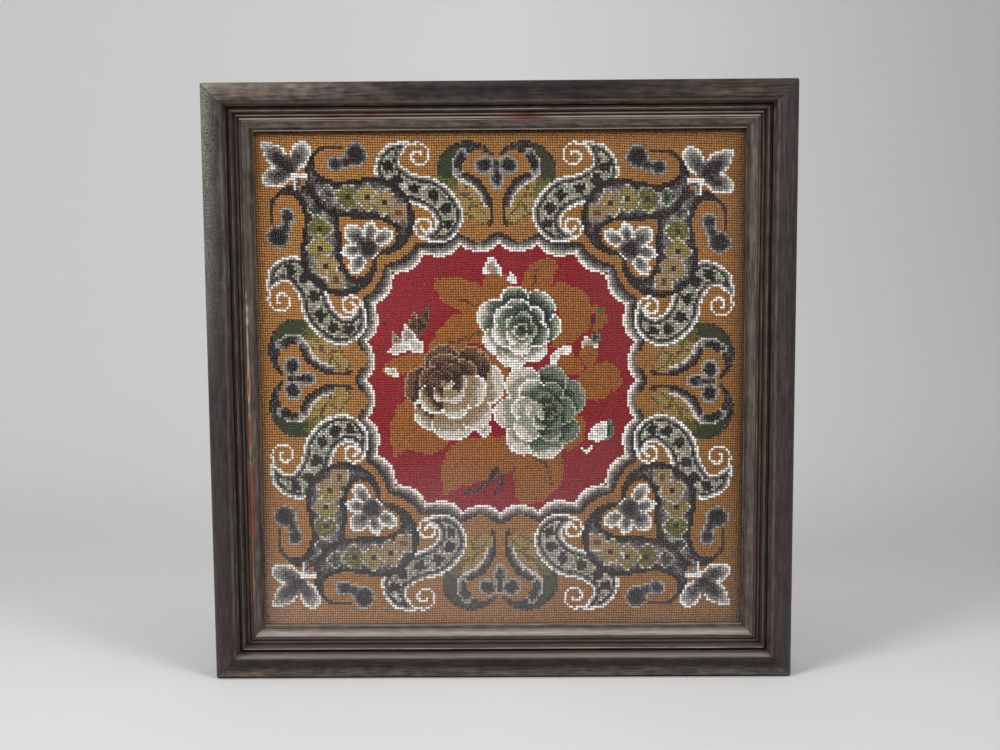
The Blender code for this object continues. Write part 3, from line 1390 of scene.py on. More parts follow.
@dataclass(frozen=True)
class WindowGlass:
    """Thin old picture glass: clear, with a faint whitish haze, partly a dusting and partly a painted
    reflection.
    """

    bloom_and_sheen: tuple = to_linear(222, 216, 222)
    clear_share: float = 0.004
    hazy_share: float = 0.014
    low_share: float = 0.08

    def material(self) -> bpy.types.Material:
        """Make the finish.

        Returns:
            The material.
        """
        graph = Graph("window_glass", Base_Color=self.bloom_and_sheen, Roughness=0.12, IOR=1.5)
        cloud = graph.noise(graph.place((1.0, 1.0, 1.0)), 7.0, 4.0)
        # The whitish haze, thicker low at the left, is partly a dusting and partly a painted reflection
        share = graph.span(cloud, 0.35, 0.8, (self.clear_share, self.hazy_share))
        axes = graph.axes()
        low = graph.span(axes[2], 0.20, 0.06)
        low = graph.times(low, graph.span(axes[0], 0.16, -0.04, (0.35, 1)))
        low = graph.times(low, graph.span(cloud, 0.3, 0.7, (0.4, 1)))
        share = graph.maths("ADD", share, graph.times(low, self.low_share))
        graph.join(share, graph.shader.inputs["Alpha"])
        return graph.material


@dataclass(frozen=True)
class BrownBoard:
    """Plain thin backing board, bare and a little stained."""

    pale: tuple = to_linear(158, 132, 98)
    deep: tuple = to_linear(112, 88, 62)

    def material(self) -> bpy.types.Material:
        """Make the finish.

        Returns:
            The material.
        """
        graph = Graph("brown_board", Roughness=0.88, Specular_IOR_Level=0.2)
        fibre = graph.noise(graph.place((1.0, 1.0, 14.0)), 26.0, 6.0)
        stain = graph.noise(graph.place((1.0, 1.0, 1.0)), 6.0, 3.0)
        colour = graph.ramp(fibre, [(0.3, self.deep), (0.7, self.pale)])
        colour = graph.mix(graph.span(stain, 0.5, 0.75, (0.0, 0.5)), colour, self.deep)
        graph.relief(fibre, 0.0002, 0.5)
        return graph.coloured(colour)


@dataclass(frozen=True)
class StudioPaper:
    """The pale paper of the floor and the backdrop, with painted shade that darkens it a little towards
    its sides, most at the right.
    """

    tones: tuple = ((-1.0, 214), (-0.5, 216), (0.0, 223), (0.35, 213), (0.8, 192))

    def material(self) -> bpy.types.Material:
        """Make the finish.

        Returns:
            The material.
        """
        graph = Graph("studio_paper", Roughness=0.9, Specular_IOR_Level=0.2)
        across = graph.axes()[0]
        # The tones darken the paper towards its sides, most at the right, as painted shade
        stops = [((place + 1) / 2, to_linear(tone, tone, tone)) for place, tone in self.tones]
        return graph.coloured(graph.ramp(graph.span(across, -1.0, 1.0), stops))


def start_primitive(add: Callable[..., object], name: str, **sizes: object) -> bpy.types.Object:
    """Deselect everything and add one primitive.

    Args:
        add: The operator that adds it.
        name: The new object's name.
        sizes: The operator's sizes.

    Returns:
        The new object, active and alone selected.
    """
    bpy.ops.object.select_all(action="DESELECT")
    add(**sizes)
    piece = bpy.context.object
    piece.name = name
    piece.data.name = name
    return piece


def select_in_edit(piece: bpy.types.Object, choose: Callable[..., bool], kind: str) -> None:
    """Select the parts of a mesh in edit mode by a test of their middles.

    Args:
        piece: The object, in edit mode.
        choose: Takes a part's vertices' places and says whether it is selected.
        kind: VERT, EDGE or FACE.
    """
    bpy.ops.mesh.select_mode(type=kind)
    bpy.ops.mesh.select_all(action="DESELECT")
    form = bmesh.from_edit_mesh(piece.data)
    parts = {"VERT": form.verts, "EDGE": form.edges, "FACE": form.faces}[kind]
    for part in parts:
        corners = [part.co] if kind == "VERT" else [vertex.co for vertex in part.verts]
        part.select_set(bool(choose(corners)))
    form.select_flush_mode()
    bmesh.update_edit_mesh(piece.data)


def half_ellipse(middle: float, half_width: float, crest: float, foot: float, steps: int) -> list[Point]:
    """Give points over the top of a half ellipse, from its outer foot to its inner one.

    Args:
        middle: Its middle, in from the outer edge.
        half_width: Half its width.
        crest: Its top's depth behind the front.
        foot: Its foot's depth behind the front.
        steps: How many steps to take.

    Returns:
        The points, in millimetres.
    """
    points = []
    for step in range(steps + 1):
        angle = math.pi * (1 - step / steps)
        points.append((middle + half_width * math.cos(angle), foot - (foot - crest) * math.sin(angle)))
    return points


def ease_corners(points: list[Point], cut: float) -> list[Point]:
    """Take the sharpness off the corners of a closed outline.

    Args:
        points: The outline.
        cut: How far from a corner the cut starts.

    Returns:
        The outline, with two points at each corner that was sharp.
    """
    eased = []
    for number, (x, y) in enumerate(points):
        before = points[number - 1]
        after = points[(number + 1) % len(points)]
        back = (before[0] - x, before[1] - y)
        on = (after[0] - x, after[1] - y)
        back_length, on_length = math.hypot(*back), math.hypot(*on)
        cosine = (back[0] * on[0] + back[1] * on[1]) / (back_length * on_length)
        if cosine < NEARLY_STRAIGHT:
            eased.append((x, y))
            continue
        for away, length in ((back, back_length), (on, on_length)):
            share = min(cut, length * 0.3) / length
            eased.append((x + away[0] * share, y + away[1] * share))
    return eased


@dataclass
class Moulding:
    """The frame: four mitred lengths of one moulding. Sizes are in millimetres.

    In the section, in is the distance from the frame's outer edge towards the picture, and behind is
    the distance behind the frontmost line. The weathered look, with its painted light and shade,
    follows the section:

    - raised: each rubbed line's middle and spread, and how hard it is rubbed on the top rail, the
      bottom rail and the sides; where the top and bottom rails are rubbed harder, this also paints
      highlights on their crests
    - deep: each line of painted shade in the grooves: its middle and spread, and how dark it is
    - pale_at: how pale the wood is at each distance in, partly bare wood and partly painted light
    - dust_and_sheen_at: how thick a dusting lies at each distance in, where the face looks up; the same
      amount paints a sheen of light there
    """

    width: float
    height: float
    depth: float
    rail_width: float = 37.2
    roll: tuple = (8.15, 8.15, 0.0, 8.0)
    fillet: tuple = ((16.8, 15.6), (18.0, 15.6), (18.2, 18.6), (19.0, 18.6), (19.3, 15.6), (20.1, 15.6))
    reeds: tuple = ((21.5, 1.3, 13.6, 15.4), (24.8, 1.2, 19.6, 20.9), (27.6, 1.1, 20.3, 21.5))
    hollow_in: Point = (29.1, 34.4)
    hollow_behind: Point = (21.1, 25.0)
    hollow_sag: float = 0.4
    sight_step: float = 2.4
    sight_bead: float = 0.7
    sight_behind: float = 28.8
    lip: float = 2.9
    rebate: float = 7.2
    mitre_gap: float = 0.12
    corner_radius: float = 1.6
    arris: float = 0.16
    roll_steps: int = 34
    reed_steps: int = 8
    hollow_steps: int = 8
    bead_steps: int = 6
    cuts: int = 84
    corner_cuts: tuple = (0.5, 1.0, 1.5, 2.2, 3.2, 4.8)
    raised: tuple = (
        (8.0, 2.6, 0.10, 0.10, 0.10),
        (17.4, 0.55, 0.60, 0.18, 0.35),
        (19.8, 0.45, 0.50, 0.10, 0.20),
        (21.5, 0.38, 0.90, 1.00, 0.45),
        (24.8, 0.70, 1.10, 0.18, 0.40),
        (27.6, 0.50, 2.10, 0.22, 0.45),
        (29.2, 0.40, 0.90, 0.20, 0.45),
        (36.5, 0.45, 1.70, 0.60, 0.40),
    )
    deep: tuple = (
        (16.6, 0.3, 0.20),
        (18.6, 0.4, 0.05),
        (23.2, 0.35, 0.20),
        (26.25, 0.3, 0.15),
        (28.85, 0.25, 0.15),
        (35.1, 0.6, 0.15),
    )
    pale_at: tuple = (
        (14.3, 0.0), (15.8, 1.3), (16.2, 1.3), (16.5, 0.5), (17.0, 0.8), (18.1, 0.8),
        (18.3, 0.1), (19.1, 0.1), (19.5, 0.9), (22.6, 0.5), (23.2, 0.0), (24.4, 0.35),
        (26.2, 0.0), (27.4, 0.45), (28.8, 0.0), (29.2, 1.0), (34.4, 0.95), (37.2, 0.95),
    )
    dust_and_sheen_at: tuple = (
        (15.3, 0.0), (15.8, 0.12), (16.1, 0.3), (16.3, 0.45), (17.0, 0.3), (22.9, 0.1),
        (29.0, 0.1), (29.4, 0.1), (30.0, 0.5), (30.8, 0.85), (32.0, 1.0), (33.4, 0.6),
        (34.4, 0.25), (34.8, 0.0), (37.2, 0.35),
    )
    warmth: tuple[float, float, float] = (0.6, 0.4, 0.25)
    red_strip: tuple = (29.7, 0.95, -92.0, 188.0)
    waves: tuple = ((210, 0.10), (96, 0.06), (37, 0.035), (17, 0.03))
    dent_count: int = 26
    pieces: list[bpy.types.Object] = field(default_factory=list)

    def section(self) -> list[Point]:
        """Draw the moulding's section.

        Returns:
            Its points, once round, as distances in and behind.
        """
        points = half_ellipse(*self.roll, self.roll_steps)
        points += self.fillet
        for reed in self.reeds:
            points += half_ellipse(*reed, self.reed_steps)
        for step in range(self.hollow_steps + 1):
            part = step / self.hollow_steps
            inward = self.hollow_in[0] + (self.hollow_in[1] - self.hollow_in[0]) * part
            level = self.hollow_behind[0] + (self.hollow_behind[1] - self.hollow_behind[0]) * part
            points.append((inward, level + self.hollow_sag * math.sin(math.pi * part)))
        step_behind = self.hollow_behind[1] + self.sight_step
        middle = self.rail_width - self.sight_bead
        bead_foot = self.sight_behind + self.sight_bead
        bead = half_ellipse(middle, self.sight_bead, self.sight_behind, bead_foot, self.bead_steps)
        points += [(self.hollow_in[1] + 0.2, step_behind), (bead[0][0], step_behind)] + bead
        lip_behind = self.sight_behind + self.lip
        wall = self.rail_width - self.rebate
        points += [(self.rail_width, lip_behind), (wall, lip_behind)]
        points += [(wall, self.depth), (0.0, self.depth)]
        return ease_corners(points, self.arris)

    def build(self) -> None:
        """Make the four rails and dress them."""
        half_width, half_height = self.width / 2, self.height / 2
        quarter = math.pi / 2
        # The top and bottom rails take a darker copy of the same stain, as painted shade, with almost no
        # gloss
        level = EbonisedWood(
            Grain.LEVEL,
            gloss=0.05,
            coat=0.0,
            dark=to_linear(31, 28, 28),
            middle=to_linear(49, 44, 43),
            light=to_linear(68, 62, 60),
        )
        upright = EbonisedWood(Grain.UPRIGHT)
        finishes = {Grain.LEVEL: level.material(), Grain.UPRIGHT: upright.material()}
        for name, length, place, turn, grain in (
            ("rail_bottom", self.width, (0.0, 0.0, 0.0), 0.0, Grain.LEVEL),
            ("rail_top", self.width, (0.0, 0.0, self.height), 2 * quarter, Grain.LEVEL),
            ("rail_left", self.height, (-half_width, 0.0, half_height), quarter, Grain.UPRIGHT),
            ("rail_right", self.height, (half_width, 0.0, half_height), -quarter, Grain.UPRIGHT),
        ):
            piece = self.rail(name, length)
            piece.location = [value * MM for value in place]
            piece.rotation_euler = (0.0, turn, 0.0)
            bpy.ops.object.transform_apply(location=True, rotation=True, scale=True)
            piece.data.materials.clear()
            piece.data.materials.append(finishes[grain])
            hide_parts(name)
            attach(piece, "root")
            self.pieces.append(piece)
            LOG.info("%s: %d faces", piece.name, len(piece.data.polygons))

    def rail(self, name: str, length: float) -> bpy.types.Object:
        """Model one rail lying along X with its outer side down.

        Args:
            name: The node that it stands for.
            length: Its length along the outer edge.

        Returns:
            The rail.
        """
        outline = self.section()
        piece = start_primitive(bpy.ops.mesh.primitive_circle_add, "worn_" + name, vertices=len(outline))
        for vertex, (inward, behind) in zip(piece.data.vertices, outline):
            vertex.co = Vector((-length / 2, behind - self.depth / 2, inward)) * MM
        bpy.ops.object.mode_set(mode="EDIT")
        bpy.ops.mesh.select_all(action="SELECT")
        bpy.ops.mesh.extrude_edges_move(TRANSFORM_OT_translate={"value": (length * MM, 0.0, 0.0)})
        set_back = self.mitre_gap / 2 * math.sqrt(2)
        for side in (-1, 1):
            bpy.ops.mesh.select_all(action="SELECT")
            bpy.ops.mesh.bisect(
                plane_co=(side * (length / 2 - set_back) * MM, 0.0, 0.0),
                plane_no=(-side, 0.0, -1.0),
                use_fill=True,
                clear_inner=True,
            )
        far = length / 4 * MM
        select_in_edit(piece, lambda ends: abs(ends[0].x - ends[1].x) > far, "EDGE")
        bpy.ops.mesh.subdivide(number_cuts=self.cuts)
        for away in self.corner_cuts:
            for side in (-1, 1):
                bpy.ops.mesh.select_all(action="SELECT")
                bpy.ops.mesh.bisect(
                    plane_co=(side * (length / 2 - away) * MM, 0.0, 0.0), plane_no=(1.0, 0.0, 0.0)
                )
        bpy.ops.mesh.select_all(action="SELECT")
        bpy.ops.mesh.normals_make_consistent(inside=False)
        bpy.ops.object.mode_set(mode="OBJECT")
        self.wear_and_painted_light(piece, length)
        bpy.ops.object.shade_smooth_by_angle(angle=math.radians(38))
        return piece

    def wear_and_painted_light(self, piece: bpy.types.Object, length: float) -> None:
        """Round the corners, dent the rail a little, and note where it is rubbed, where its hollows hold
        painted shade, and where a dusting and painted light lie on it.

        Args:
            piece: The rail, lying along X.
            length: Its length along the outer edge.
        """
        mesh = piece.data
        places = np.zeros(len(mesh.vertices) * 3)
        mesh.vertices.foreach_get("co", places)
        places = places.reshape(-1, 3) / MM
        along, behind, inward = places[:, 0], places[:, 1] + self.depth / 2, places[:, 2]
        on_face = behind < self.sight_behind + 1
        side = piece.name.split("_")[-1]
        random = np.random.default_rng(len(piece.name) * 7 + int(length))
        rub, warm = self.rubbing_and_highlights(side, (along, inward), length, random)
        layers = {"rub": rub, "warm": warm} | self.weathering_and_painted_light(side, (along, inward), behind)
        for name, values in layers.items():
            layer = mesh.attributes.new(name, "FLOAT", "POINT")
            layer.data.foreach_set("value", np.where(on_face, values, 0.0))
        mesh.attributes.new("inward", "FLOAT", "POINT").data.foreach_set("value", inward)
        self.dent(places, on_face, length, random)
        self.round_corners(places, length)
        mesh.vertices.foreach_set("co", (places * MM).ravel())
        mesh.update()

    def choose(self, side: str, amounts: list[float] | tuple[float, ...]) -> float:
        """Choose a rail's amount from those for the top, the bottom and the sides."""
        return amounts[{"top": 0, "bottom": 1}.get(side, 2)]

    def rubbing_and_highlights(
        self, side: str, place: tuple[Array, Array], length: float, random: np.random.Generator
    ) -> tuple[Array, Array]:
        """Say where a rail is rubbed through, and where the ground below is redder. Where the top and
        bottom rails are rubbed harder, this also paints highlights on crests that catch the light above.

        Args:
            side: Which rail it is: top, bottom, left or right.
            place: How far along the rail and how far in each point lies.
            length: The rail's length along its outer edge.
            random: The rail's own random numbers.

        Returns:
            How rubbed and how warm each point is.
        """
        along, inward = place
        rub = np.zeros(len(along))
        # Where the top and bottom rails are rubbed harder, the pale crests also stand for painted
        # highlights
        for middle, spread, *amounts in self.raised:
            amount = self.choose(side, amounts)
            rub = np.maximum(rub, amount * np.exp(-(((inward - middle) / spread) ** 2)))
        warm = rise(inward, 22.8, 0.8) * rise(inward, 29.3, -0.5)
        warm *= self.choose(side, self.warmth)
        if side == "left":
            middle, spread, start, end = self.red_strip
            strip = np.exp(-(((inward - middle) / spread) ** 2)) * rise(along, start, 20)
            strip *= rise(along, end, -20)
            stops = np.linspace(-length / 2, length / 2, 90)
            strip *= np.interp(along, stops, random.uniform(0.25, 1.35, 90))
            rub, warm = np.maximum(rub, 1.4 * strip), np.maximum(warm, 2.5 * strip)
        return rub, warm

    def weathering_and_painted_light(self, side: str, place: tuple[Array, Array], behind: Array) -> dict[str, Array]:
        """Say where a rail has painted shade, a dusting that also paints a sheen, and pale wood that is
        partly painted light.

        Args:
            side: Which rail it is: top, bottom, left or right.
            place: How far along the rail and how far in each point lies.
            behind: How far behind the front each point lies.

        Returns:
            Each point's amounts, by the name of the attribute that holds them.
        """
        along, inward = place
        # Painted shade in the grooves
        deep = np.zeros(len(along))
        for middle, spread, amount in self.deep:
            deep += amount * np.exp(-(((inward - middle) / spread) ** 2))
        # A dusting lies where faces look up, and the same amount paints a sheen of light there
        facing = self.choose(side, (-1, 1, 0)) * self.facing(inward, behind)
        settled = np.clip(facing, 0, 1) * np.interp(inward, *zip(*self.dust_and_sheen_at))
        pale = np.interp(inward, *zip(*self.pale_at))
        if side == "bottom":
            # On the bottom rail, painted light and shade: less pale wood up to the hollow, whose faces
            # light from above already brightens; the roll's outer half painted pale, as light from the
            # floor below; a painted contact shadow along the lower edge; darker painted shade in the
            # grooves between the reeds, and less in the groove after the roll
            pale *= np.where(inward < 29, 0.25, 1.0)
            pale += 2.0 * rise(inward, 11, -10)
            deep *= np.where((inward > 22.9) & (inward < 29), 2.0, 1.0)
            deep *= np.where((inward > 18.0) & (inward < 19.2), 0.6, 1.0)
            deep += rise(inward, 1.9, -0.6)
        elif side == "top":
            # Seen from the front, the top rail, whose faces mostly look down, is painted lighter: its
            # pale wood is stronger, and its roll paler towards its ends, most at the left, partly as
            # worn cloudy patches and partly as painted light; its outer side, which looks up, takes
            # painted shade except at the left
            pale *= 1.7
            ends = rise(np.abs(along), 60, 100) * np.where(along > 0, 1.5, 0.7)
            pale += (0.15 + ends) * rise(inward, 15, -2)
            deep += 0.55 * rise(inward, 10, -4) * rise(along, 150, -80)
        return {"deep": deep, "settled": settled, "pale": pale}

    def dent(
        self, places: Array, on_face: Array, length: float, random: np.random.Generator
    ) -> None:
        """Make a rail's face slightly wavy, and dent its raised lines.

        Args:
            places: The rail's vertices in millimetres, changed in place.
            on_face: True at the vertices of the moulded face.
            length: The rail's length along its outer edge.
            random: The rail's own random numbers.
        """
        along, inward = places[:, 0], places[:, 2]
        room = rise(length / 2 - np.abs(along) - inward, 0, 14)
        wave = np.zeros(len(along))
        for wavelength, height in self.waves:
            turns = along / wavelength + random.random()
            wave += height * np.sin(2 * math.pi * turns + inward * 0.11)
        dents = np.zeros(len(along))
        for _ in range(self.dent_count):
            middle = random.uniform(-length / 2, length / 2)
            crest = self.raised[random.integers(1, 8)][0]
            spread = random.uniform(1.5, 6)
            dents += random.uniform(0.05, 0.22) * np.exp(
                -(((along - middle) / spread) ** 2) - ((inward - crest) / 0.6) ** 2
            )
        places[:, 1] += np.where(on_face, room * (wave * 0.6 + dents), 0.0)
        places[:, 2] += room * wave * 0.35 * (inward > 1) * on_face

    def facing(self, inward: Array, behind: Array) -> Array:
        """Say how far each point's face looks towards the picture, from -1 to 1.

        Args:
            inward: The points' distances in from the outer edge.
            behind: Their distances behind the front.

        Returns:
            The share of the outward direction that points inwards.
        """
        outline = np.array(self.section())
        ahead = np.roll(outline, -1, axis=0) - outline
        ahead /= np.linalg.norm(ahead, axis=1, keepdims=True)
        share = (ahead[:, 1] + np.roll(ahead[:, 1], 1)) / 2
        apart = (inward[:, None] - outline[:, 0]) ** 2 + (behind[:, None] - outline[:, 1]) ** 2
        return share[np.argmin(apart, axis=1)]

    def round_corners(self, places: Array, length: float) -> None:
        """Round the frame's outer corners, seen from the front.

        Args:
            places: The rail's vertices in millimetres, changed in place.
            length: The rail's length along its outer edge.
        """
        radius = self.corner_radius
        from_end = length / 2 - np.abs(places[:, 0])
        inward = places[:, 2]
        near = np.minimum(from_end, inward)
        far = np.maximum(from_end, inward)
        chosen = (far < radius) & (near >= -0.01)
        angle = math.pi / 4 * (radius - far) / np.maximum(radius - near, 1e-6)
        low = radius - (radius - near) * np.cos(angle)
        high = radius - (radius - near) * np.sin(angle)
        inward_is_near = inward <= from_end
        new_in = np.where(inward_is_near, low, high)
        new_end = np.where(inward_is_near, high, low)
        side = np.sign(places[:, 0])
        places[:, 2] = np.where(chosen, new_in, inward)
        places[:, 0] = np.where(chosen, side * (length / 2 - new_end), places[:, 0])


@dataclass
class Filling:
    """What lies in the rebate with the beadwork: the glass in front and the board behind."""

    nodes: dict[str, bpy.types.Object]

    def build(self) -> None:
        """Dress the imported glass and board."""
        self.dress("glass_pane", WindowGlass().material())
        self.dress("backing_board", BrownBoard().material())

    def dress(self, name: str, finish: bpy.types.Material) -> None:
        """Give one packed sheet its finish.

        Args:
            name: The node's name.
            finish: The finish.
        """
        piece = self.nodes[name]
        for holder in piece.material_slots:
            holder.material = finish
        LOG.info("%s: dressed", name)


@dataclass
class StitchSolid:
    """One stitch as a small closed solid: a half ellipsoid with its flat side on the canvas.

    Sizes are in millimetres. slant leans it to the right, and lying turns its poles to the sides.
    """

    rings: int
    half_width: float
    half_height: float
    depth: float
    slant: float
    lying: bool = False
    segments: int = 6

    def build(self) -> tuple[Array, list[tuple[int, ...]]]:
        """Model the solid once.

        Returns:
            Its vertices in millimetres and its faces.
        """
        piece = start_primitive(
            bpy.ops.mesh.primitive_uv_sphere_add,
            "one_stitch",
            segments=self.segments,
            ring_count=self.rings,
            radius=1.0,
        )
        bpy.ops.object.mode_set(mode="EDIT")
        bpy.ops.mesh.select_all(action="SELECT")
        bpy.ops.mesh.bisect(
            plane_co=(0.0, 0.0, 0.0), plane_no=(0.0, 1.0, 0.0), use_fill=True, clear_outer=True
        )
        bpy.ops.mesh.select_all(action="SELECT")
        bpy.ops.mesh.normals_make_consistent(inside=False)
        bpy.ops.object.mode_set(mode="OBJECT")
        turn = Matrix.Rotation(math.pi / 2 if self.lying else 0.0, 4, "Y")
        size = Matrix.Diagonal((self.half_width, self.depth, self.half_height, 1.0))
        piece.data.transform(Matrix.Rotation(self.slant, 4, "Y") @ size @ turn)
        vertices = np.array([vertex.co for vertex in piece.data.vertices])
        faces = [tuple(face.vertices) for face in piece.data.polygons]
        bpy.data.objects.remove(piece)
        return vertices, faces


@dataclass
class Needlework:
    """The stitches on the canvas: each hole of the chart becomes one bead or one stitch of wool.

    Sizes are in millimetres. Each painted shadow beside the sight edge has a start, a reach and a
    depth. The wool's colours are painted lighter towards the top and darker towards the right.
    """

    chart: Chart
    middle: float
    pitch: Point = STITCH_PITCH
    canvas_front: float = 14.6
    reach: Point = (200.4, 205.8)
    # The wool's colour is painted lighter towards the top and darker towards the right, as painted light
    # and shade
    painted_light_slope: Point = (0.10, 0.16)
    seed: int = 5
    shade_change: float = 0.09
    size_change: float = 0.035
    turn: float = math.radians(5.0)
    nudge: float = 0.05
    top_painted_shadow: tuple[float, float, float] = (197.4, 2.4, 0.85)
    side_painted_shadow: tuple[float, float, float] = (193.0, 2.0, 0.3)
    right_painted_shadow: tuple[float, float, float] = (184.0, 10.0, 0.35)
    deepest_painted_shadow: float = 0.8
    bead: StitchSolid = field(
        default_factory=lambda: StitchSolid(3, 1.20, 1.14, 1.34, math.radians(14))
    )
    wool: StitchSolid = field(
        default_factory=lambda: StitchSolid(3, 1.04, 1.01, 0.95, math.radians(-10), True)
    )
    dense_wool: StitchSolid = field(
        default_factory=lambda: StitchSolid(3, 1.12, 1.07, 0.95, math.radians(-6), True)
    )
    pieces: list[bpy.types.Object] = field(default_factory=list)

    def build(self) -> None:
        """Work every piece of the needlework."""
        self.mix_colours()
        places = self.places()
        # The frame's shadow beside the sight edge is painted into the stitches' colours
        self.colours[..., :3] *= (1 - self.painted_edge_shadow(places))[..., None]
        across, up = places[..., 0], places[..., 2] - self.middle
        seen = (np.abs(across) < self.reach[0]) & (np.abs(up) < self.reach[1])
        beads, wool = BeadGlass().material(), WoolYarn().material()
        ochre, upper = self.holes(Shade.OCHRE, Shade.OCHRE_SHADOW), self.chart.v > 0
        white = self.holes(Shade.WHITE, Shade.CREAM)
        grey = self.holes(Shade.BEIGE, Shade.PALE_GREY, Shade.GREY, Shade.PALE_SAGE, Shade.FAWN)
        coloured = self.holes(Shade.SAGE, Shade.DEEP_SAGE, Shade.BOTTLE, Shade.BROWN, Shade.UMBER)
        dark = self.holes(Shade.SLATE, Shade.CHARCOAL, Shade.BLACK)
        crimson = self.holes(Shade.CRIMSON, Shade.LEAF, Shade.PLUM)
        green = self.holes(Shade.FOREST, Shade.OLIVE, Shade.LIME, Shade.STRAW)
        for name, where, solid, finish in (
            ("beads_white", white, self.bead, beads),
            ("beads_grey", grey, self.bead, beads),
            ("beads_green_and_brown", coloured, self.bead, beads),
            ("beads_dark", dark, self.bead, beads),
            ("wool_ground_upper", ochre & upper, self.wool, wool),
            ("wool_ground_lower", ochre & ~upper, self.wool, wool),
            ("wool_medallion", crimson, self.dense_wool, wool),
            ("wool_green_and_straw", green, self.wool, wool),
        ):
            self.work(name, where & seen, solid.build(), finish)

    def mix_colours(self) -> None:
        """Give every hole its own colour, turn, size and place, each a little off the even one."""
        random = np.random.default_rng(self.seed)
        chart = self.chart
        is_bead = np.array([shade.is_bead for shade in Shade])[chart.shade]
        colours = np.array([to_linear(*shade.value[:3]) for shade in Shade])
        self.colours = colours[chart.shade]
        uneven = 1 + self.shade_change * random.standard_normal(chart.u.shape)
        self.colours[..., :3] *= uneven[..., None].clip(0.7, 1.3)
        # Painted light and shade: the wool lighter towards the top and darker towards the right
        painted_light_slope = 1 + self.painted_light_slope[0] * chart.v / 100 - self.painted_light_slope[1] * chart.u / 100
        self.colours[..., :3] *= np.where(is_bead, 1.0, painted_light_slope)[..., None]
        self.turns = self.turn * random.standard_normal(chart.u.shape)
        self.sizes = 1 + self.size_change * random.standard_normal(chart.u.shape)
        self.nudges = self.nudge * random.standard_normal((2,) + chart.u.shape)

    def holes(self, *shades: Shade) -> Array:
        """Find the holes that take any of some shades."""
        return np.isin(self.chart.shade, [shade.number for shade in shades])

    def painted_edge_shadow(self, places: Array) -> Array:
        """Say how dark the frame's painted shadow lies on the stitches beside the sight edge.

        Args:
            places: The place of each hole in millimetres.

        Returns:
            The shadow's depth at each hole, from 0 to 1.
        """
        across, up = places[..., 0], places[..., 2] - self.middle
        shadow = np.zeros(up.shape)
        for value, (start, reach, depth) in (
            (up, self.top_painted_shadow),
            (np.abs(across), self.side_painted_shadow),
            (across, self.right_painted_shadow),
        ):
            shadow += depth * rise(value, start, reach)
        return np.clip(shadow, 0, self.deepest_painted_shadow)

    def places(self) -> Array:
        """Say where each hole of the canvas lies, with the slight waves of worked cloth.

        Returns:
            The place of each hole in millimetres.
        """
        right, up = self.chart.drift()
        u, v = self.chart.u + right, self.chart.v + up
        wave_x = 0.24 * np.sin(v / 17 + 0.6) + 0.16 * np.sin(v / 7.3 + u / 41)
        wave_x += 0.10 * np.sin(u / 23 + 2)
        wave_z = 0.22 * np.sin(u / 19 + 1.1) + 0.16 * np.sin(u / 8.1 + v / 33)
        wave_z += 0.10 * np.sin(v / 27)
        x = u * self.pitch[0] + wave_x + self.nudges[0]
        z = self.middle + v * self.pitch[1] + wave_z + self.nudges[1]
        return np.stack([x, np.full(x.shape, self.canvas_front), z], axis=-1)

    def work(self, name: str, where: Array, solid: tuple, finish: bpy.types.Material) -> None:
        """Make one piece from all the stitches of some shades.

        Args:
            name: The piece's name.
            where: True at the holes that the piece covers.
            solid: The stitch's vertices and faces.
            finish: The stitches' finish.
        """
        vertices, faces = solid
        places = self.places()[where]
        turns, sizes = self.turns[where][:, None], self.sizes[where][:, None]
        x = vertices[None, :, 0] * np.cos(turns) + vertices[None, :, 2] * np.sin(turns)
        z = vertices[None, :, 2] * np.cos(turns) - vertices[None, :, 0] * np.sin(turns)
        y = np.repeat(vertices[None, :, 1], len(places), axis=0)
        points = np.stack([x * sizes, y * sizes, z * sizes], axis=-1) + places[:, None, :]
        count = len(places)
        corners = np.concatenate([np.array(face) for face in faces])
        offsets = (np.arange(count) * len(vertices))[:, None]
        loops = (corners[None, :] + offsets).ravel()
        lengths = np.array([len(face) for face in faces])
        starts = np.concatenate([[0], np.cumsum(lengths)[:-1]])
        mesh = bpy.data.meshes.new(name)
        mesh.vertices.add(count * len(vertices))
        mesh.vertices.foreach_set("co", (points * MM).ravel())
        mesh.loops.add(len(loops))
        mesh.loops.foreach_set("vertex_index", loops.astype(np.int32))
        mesh.polygons.add(count * len(faces))
        all_starts = (starts[None, :] + (np.arange(count) * len(corners))[:, None]).ravel()
        mesh.polygons.foreach_set("loop_start", all_starts.astype(np.int32))
        mesh.polygons.foreach_set("use_smooth", np.ones(count * len(faces), bool))
        colour = mesh.attributes.new("stitch_colour", "FLOAT_COLOR", "POINT")
        values = np.repeat(self.colours[where][:, None, :], len(vertices), axis=1)
        colour.data.foreach_set("color", values.astype(np.float32).ravel())
        mesh.update(calc_edges=True)
        mesh.validate()
        mesh.materials.append(finish)
        piece = bpy.data.objects.new(name, mesh)
        bpy.context.scene.collection.objects.link(piece)
        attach(piece, "root")
        self.pieces.append(piece)
        triangles = count * int((lengths - 2).sum())
        LOG.info("%s: %d stitches, %d triangles", name, count, triangles)


